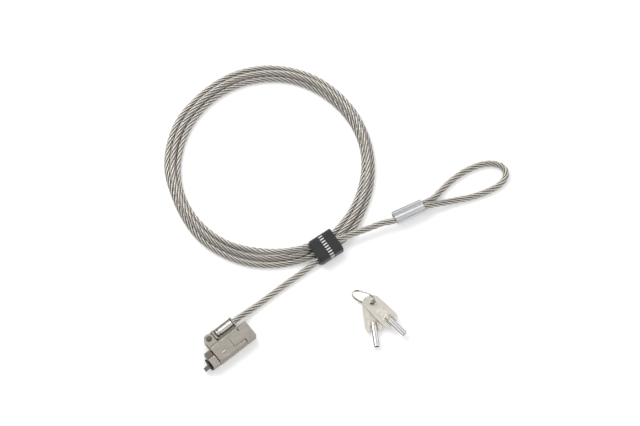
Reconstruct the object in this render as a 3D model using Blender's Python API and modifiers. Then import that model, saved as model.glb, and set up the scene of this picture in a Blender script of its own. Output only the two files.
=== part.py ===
"""Laptop cable lock: lock head on a swivel arm, coiled steel rope with an eye, and two keys on a ring.

Metres, +Z up. The origin is the middle of the lock head's underside, which rests on the table.
-X is the way the locking tip points, and +X is the end where the key goes in.
"""

import math

import bmesh
import bpy
from mathutils import Matrix, Vector

mm = 0.001

# Clearances
seat_gap = 0.3 * mm          # between casings, and along the rope
lock_gap = 0.15 * mm         # round the small parts of the lock
table_gap = 0.1 * mm         # under the sleeve, the keys and the ring

# Key and lock cylinder
key_barrel_radius = 3.0 * mm
key_barrel_wall = 0.95 * mm
keyway_depth = 4.5 * mm
cylinder_wall = 0.7 * mm
plug_length = 4.0 * mm
cylinder_back_wall = 3.3 * mm
plug_shaft_radius = 1.0 * mm
tumbler_count = 7
tumbler_radius = 0.42 * mm
tumbler_gap = 0.12 * mm
tumbler_stand_out = 0.5 * mm
tumbler_spring_length = 2.2 * mm
tumbler_spring_wire = 0.1 * mm
plug_gap = 0.1 * mm          # between the plug and the cylinder's bore
clip_thickness = 0.4 * mm
clip_width = 0.9 * mm
clip_mouth_width = 1.4 * mm
cam_radius = 1.9 * mm
cam_thickness = 0.8 * mm
cam_finger_radius = 0.4 * mm
cam_finger_reach = 0.9 * mm
cam_finger_length = 0.7 * mm
cam_from_cylinder = 0.9 * mm
cam_hole_floor = 0.3 * mm
latch_plate_thickness = 0.6 * mm
latch_plate_side = 2.4 * mm
latch_plate_above = 1.3 * mm
latch_plate_below = 2.5 * mm
latch_bolt_width = 1.5 * mm
latch_bolt_depth = 0.5 * mm
latch_pocket_depth = 0.7 * mm
latch_spring_radius = 0.45 * mm
plug_turn = math.radians(90)

# Lock head
head_length = 26.0 * mm
casing_wall = 1.2 * mm
floor_thickness = 1.1 * mm
cover_thickness = 1.2 * mm
return_spring_radius = 0.8 * mm
return_spring_length = 5.3 * mm
return_spring_wire = 0.15 * mm
spring_seat = 0.5 * mm
screw_radius = 0.7 * mm
screw_head_radius = 1.3 * mm
screw_length = 6.0 * mm
screw_slot_width = 0.4 * mm
screw_post_wall = 0.7 * mm
screw_from_wall = 1.9 * mm
small_pin_radius = 0.6 * mm
casing_edge = 0.4 * mm
button_length = 8.9 * mm
button_travel = 3.5 * mm
button_chamfer = 2.3 * mm
tongue_length = 10.0 * mm
lower_rail_width = 2.9 * mm
upper_rail_width = 3.8 * mm
foot_length = 3.0 * mm
emblem_recess_depth = 0.4 * mm
emblem_recess_radius = 2.6 * mm

# Locking tip
tip_offset = 3.3 * mm
nose_length = 6.5 * mm
nose_width = 7.6 * mm
pad_thickness = 1.0 * mm
pad_offset = 2.3 * mm
tip_reach = 4.7 * mm
tip_width = 3.0 * mm
hook_thickness = 1.3 * mm
hook_drop = 1.0 * mm
hook_nib = 1.4 * mm
blade_thickness = 1.2 * mm
stop_length = 5.6 * mm
stop_width = 5.7 * mm

# Swivel arm
rope_radius = 2.45 * mm
ferrule_wall = 0.65 * mm
ferrule_length = 15.9 * mm
arm_wall = 0.8 * mm
arm_end_wall = 1.1 * mm
arm_height = 8.0 * mm
inner_wall_height = 3.3 * mm
outer_wall_height = 5.1 * mm
end_wall_height = 7.3 * mm
arm_gap = 1.9 * mm
ear_radius = 3.9 * mm
ear_from_front = 4.3 * mm
ear_lug_thickness = 2.3 * mm
pivot_radius = 1.4 * mm
pivot_head_radius = 2.2 * mm
pivot_head_thickness = 0.7 * mm
ferrule_head_length = 2.4 * mm
ferrule_neck_length = 1.0 * mm
ferrule_neck_depth = 0.6 * mm

# Rope coil, strap and eye
coil_centre = Vector((115.4, 94.2, 0.0)) * mm
coil_inner_radius = 67.6 * mm
coil_outer_radius = 82.4 * mm
coil_height = 10.4 * mm
coil_corner_radius = 2.6 * mm
strap_centre = Vector((107.6, 15.6, 0.0)) * mm
strap_angle = math.radians(-4.5)
strap_width = 21.0 * mm
strap_span = 18.6 * mm
strap_thickness = 1.1 * mm
strap_above_coil = 1.2 * mm
strap_corner_radius = 2.2 * mm
sleeve_centre = Vector((176.0, -2.4, 0.0)) * mm
sleeve_angle = math.radians(-13.5)
sleeve_roll = math.radians(42)
sleeve_length = 24.6 * mm
sleeve_wall = 1.45 * mm

# Keys and ring
key_bow_thickness = 1.6 * mm
key_hole_radius = 2.4 * mm
key_end_radius = 6.4 * mm
key_waist_place = 9.0 * mm
key_waist_radius = 5.5 * mm
key_waist_half_width = 6.9 * mm
key_half_width = 7.0 * mm
key_shoulder_radius = 4.3 * mm
key_bow_length = 22.6 * mm
key_barrel_start = 17.8 * mm
key_length = 34.6 * mm
key_rim_width = 1.2 * mm
key_rim_height = 0.3 * mm
key_collar_length = 2.4 * mm
key_collar_inset = 0.3 * mm
key_a_direction = math.radians(-120.2)
key_b_direction = math.radians(-84.2)
ring_outer_radius = 10.0 * mm
ring_wire_radius = 0.7 * mm
ring_lean = math.radians(11)
ring_direction = math.radians(-58)
key_hole_place = Vector((108.0, -41.9, 0.0)) * mm

# Sizes that follow from those above
bore_radius = key_barrel_radius + lock_gap
cylinder_radius = bore_radius + cylinder_wall
lock_axis_z = floor_thickness + seat_gap + cylinder_radius
cover_bottom = lock_axis_z + cylinder_radius + seat_gap
head_height = cover_bottom + cover_thickness
shell_top = cover_bottom - seat_gap
spring_row = cylinder_radius + seat_gap + return_spring_radius
head_side = spring_row + return_spring_radius + seat_gap + casing_wall
head_front = -head_length / 2
head_rear = head_length / 2
button_rear = head_rear + button_length
tongue_front = head_rear - tongue_length
rope_axis_z = head_height / 2
tip_axis_z = head_height / 2
nose_front = head_front - nose_length - seat_gap
pad_front = nose_front - pad_thickness - seat_gap
tip_end = pad_front - tip_reach
pad_radius = tip_axis_z - 0.15 * mm
blade_bottom = tip_axis_z + seat_gap / 2
hook_top = tip_axis_z - seat_gap / 2
keyway_bottom = button_rear - keyway_depth
plug_back = keyway_bottom - plug_length
cylinder_front = plug_back - lock_gap - cylinder_back_wall
tumbler_row = key_barrel_radius - key_barrel_wall / 2 - 0.2 * mm
cam_front = cylinder_front - cam_from_cylinder - cam_thickness
latch_plate_top = lock_axis_z + latch_plate_above
screw_side = head_side - casing_wall - screw_from_wall
screw_places = [(head_front + 3.6 * mm, screw_side), (tongue_front - 4.0 * mm, screw_side)]
ferrule_radius = rope_radius + ferrule_wall
arm_half_width = ferrule_radius + lock_gap + arm_wall
arm_axis_y = head_side + arm_gap + arm_half_width
arm_bottom = rope_axis_z - arm_height / 2
arm_top = rope_axis_z + arm_height / 2
pivot_x = head_front + ear_from_front
pivot_y = arm_axis_y
arm_start = pivot_x + ear_radius + seat_gap
ferrule_start = arm_start + 2.2 * mm
ferrule_end = ferrule_start + ferrule_length
arm_end = ferrule_end + seat_gap + arm_end_wall
sleeve_radius = rope_radius + lock_gap + sleeve_wall
strand_spacing = 2 * rope_radius + lock_gap
rope_rest_z = rope_radius + table_gap / 2
strap_height = coil_height + strap_above_coil
key_a_z = key_barrel_radius + table_gap
key_b_z = key_a_z + key_bow_thickness + 2 * key_rim_height + seat_gap
ring_radius = ring_outer_radius - ring_wire_radius
ring_centre_z = ring_outer_radius * math.cos(ring_lean) + table_gap

for old in list(bpy.data.objects):
    bpy.data.objects.remove(old, do_unlink=True)

lock = bpy.data.collections.new("laptop_cable_lock")
cutters = bpy.data.collections.new("cutters")
bpy.context.scene.collection.children.link(lock)
bpy.context.scene.collection.children.link(cutters)
cutters.hide_render = True


def finish(name, colour, roughness, metallic):
    """A Principled material."""
    material = bpy.data.materials.new(name)
    material.use_nodes = True
    shader = material.node_tree.nodes["Principled BSDF"]
    shader.inputs["Base Color"].default_value = (*colour, 1.0)
    shader.inputs["Roughness"].default_value = roughness
    shader.inputs["Metallic"].default_value = metallic
    return material


cast_nickel = finish("cast_nickel", (0.42, 0.39, 0.34), 0.38, 1.0)
dark_nickel = finish("dark_nickel", (0.14, 0.13, 0.11), 0.42, 1.0)
bright_steel = finish("bright_steel", (0.72, 0.71, 0.69), 0.2, 1.0)
key_nickel = finish("key_nickel", (0.62, 0.58, 0.5), 0.3, 1.0)
rope_steel = finish("rope_steel", (0.42, 0.39, 0.35), 0.35, 1.0)
sleeve_alloy = finish("sleeve_alloy", (0.78, 0.78, 0.8), 0.28, 1.0)
black_rubber = finish("black_rubber", (0.012, 0.012, 0.012), 0.65, 0.0)
black_tape = finish("black_tape", (0.03, 0.03, 0.035), 0.85, 0.0)
spring_wire = finish("spring_wire", (0.55, 0.54, 0.52), 0.3, 1.0)
pin_brass = finish("pin_brass", (0.62, 0.47, 0.2), 0.3, 1.0)


def body_at(name, place=(0, 0, 0), turn=0.0):
    """An empty on a joint's axis, which carries the pieces that move together."""
    empty = bpy.data.objects.new(name, None)
    empty.empty_display_size = 4 * mm
    empty.location = place
    empty.rotation_euler = (0, 0, turn)
    lock.objects.link(empty)
    bpy.context.view_layer.update()
    return empty


def carry(empty, *pieces):
    """Parents pieces that are already in their place."""
    for piece in pieces:
        piece.parent = empty
        piece.matrix_parent_inverse = empty.matrix_world.inverted()


def add(name, shape, material=None, place=(0, 0, 0), turn=(0, 0, 0)):
    """An object from a bmesh. Without a material it is a cutter or a helper."""
    mesh = bpy.data.meshes.new(name)
    shape.to_mesh(mesh)
    shape.free()
    piece = bpy.data.objects.new(name, mesh)
    piece.location = place
    piece.rotation_euler = turn
    if material:
        mesh.materials.append(material)
        lock.objects.link(piece)
    else:
        cutters.objects.link(piece)
        piece.hide_render = True
        piece.display_type = "WIRE"
    return piece


def box(name, low, high, material=None, turn=(0, 0, 0)):
    """A box between two corners, turned about its own middle."""
    low = Vector(low)
    high = Vector(high)
    shape = bmesh.new()
    bmesh.ops.create_cube(shape, size=1.0)
    bmesh.ops.scale(shape, vec=high - low, verts=shape.verts)
    return add(name, shape, material, (low + high) / 2, turn)


def rod(name, axis, start, end, across, radius, material=None, sides=24):
    """A cylinder along "X", "Y" or "Z" from start to end; across is its place on the other two axes."""
    index = "XYZ".index(axis)
    middle = list(across)
    middle.insert(index, (start + end) / 2)
    turn = Matrix.Rotation(math.pi / 2, 4, "Y" if axis == "X" else "X")
    shape = bmesh.new()
    bmesh.ops.create_cone(
        shape,
        cap_ends=True,
        segments=sides,
        radius1=radius,
        radius2=radius,
        depth=end - start,
        matrix=Matrix.Identity(4) if axis == "Z" else turn,
    )
    piece = add(name, shape, material, middle)
    piece.data.set_sharp_from_angle(angle=math.radians(40))
    return piece


def combine(piece, others, operation):
    for other in others:
        modifier = piece.modifiers.new(other.name, "BOOLEAN")
        modifier.operation = operation
        modifier.object = other


def cut(piece, *others):
    combine(piece, others, "DIFFERENCE")


def join(piece, *others):
    combine(piece, others, "UNION")


def ease(piece, width, segments=1):
    """Small bevels on the sharp edges."""
    modifier = piece.modifiers.new("ease", "BEVEL")
    modifier.width = width
    modifier.segments = segments
    modifier.limit_method = "ANGLE"
    modifier.angle_limit = math.radians(40)


def turned(name, profile, material, place, sides=24, turn=(0, math.pi / 2, 0)):
    """A profile of (radius, height) points, outer side downwards, spun about its height axis."""
    shape = bmesh.new()
    points = [shape.verts.new((radius, 0, height)) for radius, height in profile]
    for first, second in zip(points, points[1:]):
        shape.edges.new((first, second))
    piece = add(name, shape, material, place, turn)
    spin = piece.modifiers.new("spin", "SCREW")
    spin.steps = sides
    spin.render_steps = sides
    spin.use_merge_vertices = True
    spin.merge_threshold = 0.00001
    return piece


def tube(name, points, radius, material, resolution=2):
    """A round tube through closely spaced points."""
    curve = bpy.data.curves.new(name, "CURVE")
    curve.dimensions = "3D"
    curve.bevel_depth = radius
    curve.bevel_resolution = resolution
    curve.use_fill_caps = True
    spline = curve.splines.new("POLY")
    spline.points.add(len(points) - 1)
    for point, place in zip(spline.points, points):
        point.co = (*place, 1.0)
    curve.materials.append(material)
    piece = bpy.data.objects.new(name, curve)
    lock.objects.link(piece)
    return piece


def smooth_route(knots, spacing):
    """Points a spacing apart on a smooth curve through the knots."""
    knots = [Vector(knot) for knot in knots]
    ends = [2 * knots[0] - knots[1], *knots, 2 * knots[-1] - knots[-2]]
    points = []
    for before, start, end, after in zip(ends, ends[1:], ends[2:], ends[3:]):
        steps = max(1, round((end - start).length / spacing))
        for step in range(steps):
            t = step / steps
            points.append(
                0.5 * (2 * start + (end - before) * t
                       + (2 * before - 5 * start + 4 * end - after) * t**2
                       + (3 * start - before - 3 * end + after) * t**3)
            )
    points.append(knots[-1])
    return points


def coil_spring(name, axis, start, end, across, radius, wire_radius, turns, steps=8):
    """A compression spring along one axis."""
    index = "XYZ".index(axis)
    points = []
    for step in range(turns * steps + 1):
        angle = 2 * math.pi * step / steps
        reach = radius - wire_radius
        place = [
            across[0] + reach * math.cos(angle),
            across[1] + reach * math.sin(angle),
        ]
        along = start + wire_radius + (end - start - 2 * wire_radius) * step / (turns * steps)
        place.insert(index, along)
        points.append(place)
    return tube(name, points, wire_radius, spring_wire, resolution=0)


def make_housing():
    shell = box(
        "housing_shell",
        (head_front, -head_side, 0),
        (head_rear, head_side, shell_top),
        cast_nickel,
    )
    ease(shell, casing_edge)
    ear_low = arm_bottom - seat_gap
    ear_high = arm_top + seat_gap
    ear = rod("ear_disc", "Z", ear_low, ear_high, (pivot_x, pivot_y), ear_radius, sides=32)
    bridge = box(
        "ear_bridge",
        (pivot_x - ear_radius, head_side - 0.6 * mm, ear_low),
        (pivot_x + ear_radius, pivot_y, ear_high),
    )
    fork = box(
        "ear_fork",
        (pivot_x - 2 * ear_radius, head_side, ear_low + ear_lug_thickness),
        (pivot_x + 2 * ear_radius, pivot_y + 2 * ear_radius, ear_high - ear_lug_thickness),
    )
    ear_relief = box(
        "ear_relief",
        (pivot_x - 2 * ear_radius, 0, shell_top),
        (pivot_x + 2 * ear_radius, head_side + seat_gap, head_height),
    )
    pivot_hole = rod(
        "pivot_hole", "Z", -mm, head_height + mm, (pivot_x, pivot_y), pivot_radius + lock_gap
    )
    cavity = box(
        "housing_cavity",
        (head_front + casing_wall, -head_side + casing_wall, floor_thickness),
        (head_rear + mm, head_side - casing_wall, head_height),
    )
    blade_way = box(
        "shell_blade_way",
        (head_front - mm, -tip_offset - tip_width / 2 - seat_gap, blade_bottom - seat_gap),
        (0, -tip_offset + tip_width / 2 + seat_gap, blade_bottom + blade_thickness + seat_gap),
    )
    latch_pocket = box(
        "latch_pocket",
        (cam_front - 2 * latch_plate_thickness, -seat_gap, floor_thickness - latch_pocket_depth),
        (cam_front + button_travel + seat_gap, latch_bolt_width + seat_gap, floor_thickness + mm),
    )
    roof = box(
        "rail_roof",
        (tongue_front, head_side - upper_rail_width + seat_gap, shell_top - casing_wall),
        (head_rear, head_side - casing_wall / 2, shell_top),
    )
    seats = []
    seat_end = head_rear - return_spring_length - 0.1 * mm
    for name, side in (("spring_seat_1", -1), ("spring_seat_2", 1)):
        edges = sorted((side * (spring_row - 0.65 * mm), side * (head_side - casing_wall / 2)))
        seats.append(box(
            name,
            (seat_end - spring_seat, edges[0], floor_thickness / 2),
            (seat_end, edges[1], lock_axis_z + return_spring_radius),
        ))
    join(shell, ear, bridge)
    cut(shell, fork, ear_relief, pivot_hole, cavity, blade_way, latch_pocket)
    join(shell, roof, *seats)
    for place in screw_places:
        cut(shell, rod("shell_screw_hole", "Z", -mm, 2 * mm, place, screw_radius + lock_gap, sides=12))
        head_recess = rod(
            "shell_screw_recess", "Z", -mm, 0.7 * mm, place, screw_head_radius + lock_gap, sides=16
        )
        cut(shell, head_recess)

    cover = box(
        "top_cover",
        (head_front, -head_side, cover_bottom),
        (head_rear, head_side, head_height),
        cast_nickel,
    )
    ease(cover, casing_edge)
    tongue_bay = box(
        "tongue_bay",
        (tongue_front, -head_side + lower_rail_width, cover_bottom - mm),
        (head_rear + mm, head_side + mm, head_height + mm),
    )
    emblem_recess = rod(
        "emblem_recess", "Z", head_height - emblem_recess_depth, head_height + mm,
        (head_front + 7.4 * mm, -2.4 * mm), emblem_recess_radius, sides=32,
    )
    emblem_recess.scale = (1.35, 0.75, 1.0)
    cut(cover, tongue_bay, emblem_recess)
    for place in screw_places:
        post = rod(
            "cover_post", "Z", floor_thickness + seat_gap, cover_bottom + 0.5 * mm, place,
            screw_radius + lock_gap + screw_post_wall, sides=16,
        )
        hole = rod(
            "cover_screw_hole", "Z", 0, screw_length + 0.6 * mm, place, screw_radius + lock_gap,
            sides=12,
        )
        join(cover, post)
        cut(cover, hole)

    screws = []
    for number, place in enumerate(screw_places, 1):
        screw = rod(
            f"cover_screw_{number}", "Z", 0.2 * mm, screw_length + 0.2 * mm, place,
            screw_radius, bright_steel, 12,
        )
        screw_head = rod(
            "screw_head", "Z", 0.1 * mm, 0.55 * mm, place, screw_head_radius, sides=16
        )
        join(screw, screw_head)
        slot_half = screw_head_radius + mm
        cut(screw, box(
            "screw_slot",
            (place[0] - slot_half, place[1] - screw_slot_width / 2, -mm),
            (place[0] + slot_half, place[1] + screw_slot_width / 2, 0.25 * mm),
        ))
        screws.append(screw)

    springs = []
    for number, side in enumerate((-1, 1), 1):
        springs.append(coil_spring(
            f"return_spring_{number}", "X", head_rear - return_spring_length, head_rear,
            (side * spring_row, lock_axis_z), return_spring_radius, return_spring_wire, 5,
        ))
    return [shell, cover, *screws, *springs]


def tip_window(name, start, end):
    """The way through the nose and the pad for the hook and the blade."""
    half = tip_width / 2 + seat_gap
    return box(
        name,
        (start, -tip_offset - half, hook_top - hook_thickness - seat_gap),
        (end, -tip_offset + half, blade_bottom + blade_thickness + seat_gap),
    )


def make_nose():
    nose = box(
        "nose_block",
        (nose_front, -tip_offset - nose_width / 2, 0.9 * mm),
        (head_front - seat_gap, -tip_offset + nose_width / 2, head_height - 0.6 * mm),
        cast_nickel,
    )
    ease(nose, casing_edge)
    pin_place = (nose_front + nose_length / 2, -tip_offset)
    pin_hole = rod(
        "hook_pin_hole", "Z", -mm, hook_top, pin_place, small_pin_radius + lock_gap, sides=12
    )
    cut(nose, tip_window("nose_window", nose_front - mm, head_front + mm), pin_hole)

    stop_low = -tip_offset + nose_width / 2 + seat_gap
    stop = box(
        "stop_block",
        (head_front - seat_gap - stop_length, stop_low, 0.6 * mm),
        (head_front - seat_gap, stop_low + stop_width, head_height - 1.8 * mm),
        dark_nickel,
    )
    ease(stop, casing_edge)

    pad = rod(
        "rubber_pad", "X", pad_front, nose_front - seat_gap, (-pad_offset, tip_axis_z),
        pad_radius, black_rubber, 32,
    )
    cut(pad, tip_window("pad_window", pad_front - mm, nose_front))

    hook = box(
        "hook_tip",
        (tip_end, -tip_offset - tip_width / 2, hook_top - hook_thickness),
        (head_front - 2 * seat_gap, -tip_offset + tip_width / 2, hook_top),
        dark_nickel,
    )
    nib = box(
        "hook_nib",
        (tip_end, -tip_offset - tip_width / 2, hook_top - hook_thickness - hook_drop),
        (tip_end + hook_nib, -tip_offset + tip_width / 2, hook_top - hook_thickness / 2),
    )
    join(hook, nib)
    hook_hole = rod(
        "hook_hole", "Z", 0, head_height, pin_place, small_pin_radius + lock_gap, sides=12
    )
    cut(hook, hook_hole)
    pin = rod(
        "hook_pin", "Z", 1.1 * mm, hook_top - 0.1 * mm, pin_place, small_pin_radius,
        bright_steel, 12,
    )
    return [nose, stop, pad, hook, pin]


def make_pivot_pin():
    pin = rod(
        "pivot_pin", "Z", 0.6 * mm, arm_top + seat_gap + lock_gap, (pivot_x, pivot_y),
        pivot_radius, dark_nickel,
    )
    head_low = arm_top + seat_gap + lock_gap - 0.05 * mm
    head = rod(
        "pivot_head", "Z", head_low, head_low + pivot_head_thickness, (pivot_x, pivot_y),
        pivot_head_radius,
    )
    join(pin, head)
    return pin


def make_button():
    """The block that is pushed in to lock, its tongue over the lock, and the foot that holds the blade."""
    block_front = head_rear + seat_gap
    block = box(
        "push_button",
        (block_front, -head_side, seat_gap),
        (button_rear, head_side, head_height),
        cast_nickel,
    )
    ease(block, casing_edge)
    tongue_low = -head_side + lower_rail_width + seat_gap
    tongue_high = head_side - upper_rail_width
    tongue = box(
        "button_tongue",
        (tongue_front + seat_gap, tongue_low, cover_bottom + 0.05 * mm),
        (block_front + mm, tongue_high, head_height),
    )
    foot = box(
        "button_foot",
        (tongue_front + seat_gap, tongue_low + 0.2 * mm, blade_bottom + blade_thickness + seat_gap),
        (tongue_front + seat_gap + foot_length, tongue_high - 0.2 * mm, cover_bottom + 0.5 * mm),
    )
    chamfer = box(
        "button_chamfer",
        (block_front - mm, -button_chamfer, -button_chamfer),
        (button_rear + mm, button_chamfer, button_chamfer),
        turn=(math.pi / 4, 0, 0),
    )
    chamfer.location.y = head_side + 0.42 * button_chamfer
    chamfer.location.z = head_height + 0.42 * button_chamfer
    bore = rod(
        "button_bore", "X", block_front - 0.5 * mm, button_rear + mm, (0, lock_axis_z),
        cylinder_radius + lock_gap, sides=32,
    )
    pin_place = (tongue_front + seat_gap + foot_length / 2, -tip_offset + tip_width / 2)
    pin_hole = rod(
        "foot_pin_hole", "Z", blade_bottom - mm, cover_bottom - 0.4 * mm, pin_place,
        small_pin_radius + lock_gap, sides=12,
    )
    join(block, tongue, foot)
    cut(block, chamfer, bore, pin_hole)

    blade = box(
        "locking_blade",
        (tip_end + hook_nib, -tip_offset - tip_width / 2, blade_bottom),
        (tongue_front + seat_gap, -tip_offset + tip_width / 2, blade_bottom + blade_thickness),
        dark_nickel,
    )
    tail = box(
        "blade_tail",
        (tongue_front - mm, -tip_offset, blade_bottom),
        (tongue_front + seat_gap + foot_length, -tip_offset + tip_width / 2 + 1.7 * mm,
         blade_bottom + blade_thickness),
    )
    blade_hole = rod(
        "blade_hole", "Z", 0, head_height, pin_place, small_pin_radius + lock_gap, sides=12
    )
    join(blade, tail)
    cut(blade, blade_hole)
    pin = rod(
        "blade_pin", "Z", blade_bottom - 0.2 * mm, cover_bottom - 0.7 * mm, pin_place,
        small_pin_radius, bright_steel, 12,
    )
    return [block, blade, pin]


def around_plug(number):
    """The place, across the lock's axis, of one of the tumblers."""
    angle = 2 * math.pi * (number + 0.5) / tumbler_count
    return (
        tumbler_row * math.cos(angle),
        lock_axis_z + tumbler_row * math.sin(angle),
    )


def make_cylinder():
    cylinder = rod(
        "cylinder_shell", "X", cylinder_front, button_rear, (0, lock_axis_z),
        cylinder_radius, bright_steel, 32,
    )
    bore = rod(
        "cylinder_bore", "X", plug_back - lock_gap, button_rear + mm, (0, lock_axis_z),
        bore_radius, sides=28,
    )
    shaft_hole = rod(
        "cylinder_shaft_hole", "X", cylinder_front - mm, plug_back, (0, lock_axis_z),
        plug_shaft_radius + lock_gap, sides=16,
    )
    cut(cylinder, bore, shaft_hole)
    springs = []
    spring_end = plug_back - lock_gap - 0.1 * mm
    for number in range(tumbler_count):
        place = around_plug(number)
        pocket = rod(
            f"spring_pocket_{number + 1}", "X", spring_end - tumbler_spring_length - lock_gap,
            plug_back, place, tumbler_radius + lock_gap, sides=10,
        )
        cut(cylinder, pocket)
        springs.append(coil_spring(
            f"pin_spring_{number + 1}", "X", spring_end - tumbler_spring_length, spring_end,
            place, tumbler_radius, tumbler_spring_wire, 3, steps=6,
        ))
    return [cylinder, *springs]


def make_latch_spring():
    across = (cam_front - lock_gap - latch_plate_thickness / 2, latch_bolt_width / 2)
    return coil_spring(
        "latch_spring", "Z", latch_plate_top + lock_gap, cover_bottom - 0.1 * mm, across,
        latch_spring_radius, tumbler_spring_wire, 4, steps=6,
    )


def make_latch():
    """A plate on the cam's finger, with a bolt that stands in the pocket of the housing's floor."""
    finger_z = lock_axis_z - cam_finger_reach * math.sin(plug_turn / 2)
    back = cam_front - lock_gap
    plate = box(
        "latch_pin",
        (back - latch_plate_thickness, -cam_finger_reach, lock_axis_z - latch_plate_below),
        (back, latch_plate_side, latch_plate_top),
        dark_nickel,
    )
    bolt = box(
        "latch_bolt",
        (back - latch_plate_thickness, 0, floor_thickness - latch_bolt_depth),
        (back, latch_bolt_width, lock_axis_z - latch_plate_below + 0.5 * mm),
    )
    slot_half = cam_finger_radius + lock_gap
    slot = box(
        "latch_slot",
        (back - 2 * mm, -0.1 * mm, finger_z - slot_half),
        (back + mm, cam_finger_reach + slot_half + 0.1 * mm, finger_z + slot_half),
    )
    join(plate, bolt)
    cut(plate, slot)
    return plate


def make_plug():
    plug = rod(
        "key_plug", "X", plug_back, keyway_bottom, (0, lock_axis_z),
        bore_radius - plug_gap, bright_steel, 28,
    )
    tumblers = []
    for number in range(tumbler_count):
        place = around_plug(number)
        hole = rod(
            f"tumbler_hole_{number + 1}", "X", plug_back - mm, keyway_bottom + mm, place,
            tumbler_radius + tumbler_gap, sides=10,
        )
        cut(plug, hole)
        tumblers.append(rod(
            f"tumbler_pin_{number + 1}", "X", plug_back + 0.1 * mm,
            keyway_bottom + tumbler_stand_out, place, tumbler_radius, pin_brass, 10,
        ))
    post = rod(
        "centre_post", "X", keyway_bottom - 0.5 * mm, button_rear - 0.2 * mm, (0, lock_axis_z),
        key_barrel_radius - key_barrel_wall - lock_gap - 0.15 * mm, sides=20,
    )
    shaft = rod(
        "plug_shaft", "X", cam_front, plug_back + 0.5 * mm, (0, lock_axis_z),
        plug_shaft_radius, sides=16,
    )
    join(plug, post, shaft)

    cam = rod(
        "plug_cam", "X", cam_front, cam_front + cam_thickness, (0, lock_axis_z),
        cam_radius, dark_nickel,
    )
    finger_angle = -plug_turn / 2
    finger = rod(
        "cam_finger", "X", cam_front - lock_gap - cam_finger_length, cam_front + cam_hole_floor,
        (cam_finger_reach * math.cos(finger_angle),
         lock_axis_z + cam_finger_reach * math.sin(finger_angle)),
        cam_finger_radius, sides=12,
    )
    # The shaft ends in the cam's blind hole, so that the finger keeps a root in front of it.
    shaft_hole = rod(
        "cam_hole", "X", cam_front + cam_hole_floor, cam_front + 2 * cam_thickness, (0, lock_axis_z),
        plug_shaft_radius + lock_gap, sides=16,
    )
    join(cam, finger)
    cut(cam, shaft_hole)
    cut(plug, box(
        "shaft_end",
        (cam_front - mm, -2 * mm, lock_axis_z - 2 * mm),
        (cam_front + cam_hole_floor + lock_gap, 2 * mm, lock_axis_z + 2 * mm),
    ))

    clip_start = cam_front + cam_thickness + lock_gap
    clip = rod(
        "retaining_clip", "X", clip_start, clip_start + clip_thickness, (0, lock_axis_z),
        plug_shaft_radius + clip_width, spring_wire,
    )
    clip_hole = rod(
        "clip_hole", "X", clip_start - mm, clip_start + mm, (0, lock_axis_z),
        plug_shaft_radius + lock_gap, sides=16,
    )
    clip_mouth = box(
        "clip_mouth",
        (clip_start - mm, -clip_mouth_width / 2, lock_axis_z),
        (clip_start + mm, clip_mouth_width / 2, lock_axis_z + 3 * mm),
    )
    cut(clip, clip_hole, clip_mouth)
    return [plug, cam, clip, *tumblers]


def make_arm():
    """The arm: a tongue between the ear's lugs, then a frame round the rope's ferrule."""
    low_y = arm_axis_y - arm_half_width
    high_y = arm_axis_y + arm_half_width
    arm = box(
        "swivel_arm",
        (arm_start, low_y, arm_bottom),
        (arm_end, high_y, arm_top),
        cast_nickel,
    )
    ease(arm, 0.6 * mm)
    tongue_low = arm_bottom + ear_lug_thickness
    tongue_high = arm_top - ear_lug_thickness
    tongue_disc = rod(
        "arm_tongue_disc", "Z", tongue_low, tongue_high, (pivot_x, pivot_y), ear_radius, sides=32
    )
    tongue = box(
        "arm_tongue",
        (pivot_x, pivot_y - ear_radius, tongue_low),
        (arm_start + mm, pivot_y + ear_radius, tongue_high),
    )
    hole = rod(
        "arm_pivot_hole", "Z", -mm, head_height + mm, (pivot_x, pivot_y), pivot_radius + lock_gap
    )
    window_half = ferrule_radius + lock_gap
    window = box(
        "arm_window",
        (ferrule_start - seat_gap, arm_axis_y - window_half, -mm),
        (ferrule_end + seat_gap, arm_axis_y + window_half, head_height + mm),
    )
    inner_step = box(
        "arm_inner_step",
        (ferrule_start - seat_gap, low_y - mm, arm_bottom + inner_wall_height),
        (ferrule_end + seat_gap, arm_axis_y + seat_gap, head_height + mm),
    )
    outer_step = box(
        "arm_outer_step",
        (ferrule_start - seat_gap, arm_axis_y - seat_gap, arm_bottom + outer_wall_height),
        (ferrule_end + seat_gap, high_y + mm, head_height + mm),
    )
    end_step = box(
        "arm_end_step",
        (ferrule_end, low_y - mm, arm_bottom + end_wall_height),
        (arm_end + mm, high_y + mm, head_height + mm),
    )
    rope_hole = rod(
        "arm_rope_hole", "X", ferrule_end, arm_end + mm, (arm_axis_y, rope_axis_z),
        rope_radius + 0.2 * mm,
    )
    join(arm, tongue_disc, tongue)
    cut(arm, hole, window, inner_step, outer_step, end_step, rope_hole)
    return arm


def make_ferrule():
    """The swaged ferrule, with a round head and a neck."""
    neck_start = -ferrule_head_length
    neck_end = neck_start - ferrule_neck_length
    neck_radius = ferrule_radius - ferrule_neck_depth
    body_radius = ferrule_radius - 0.1 * mm
    profile = [
        (0, 0),
        (ferrule_radius * 0.55, -0.25 * mm),
        (ferrule_radius * 0.9, -0.9 * mm),
        (ferrule_radius, -1.6 * mm),
        (ferrule_radius, neck_start),
        (neck_radius, neck_start - 0.2 * mm),
        (neck_radius, neck_end),
        (body_radius, neck_end - 0.3 * mm),
        (body_radius, -ferrule_length),
        (0, -ferrule_length),
    ]
    return turned(
        "swivel_ferrule", profile, bright_steel, (ferrule_start, arm_axis_y, rope_axis_z),
        turn=(0, -math.pi / 2, 0),
    )


def sleeve_point(along, side, height):
    """A point of the crimp sleeve: along its axis, across it, and up."""
    turn = Matrix.Rotation(sleeve_angle, 3, "Z")
    return sleeve_centre + turn @ Vector((along, side, height))


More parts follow.
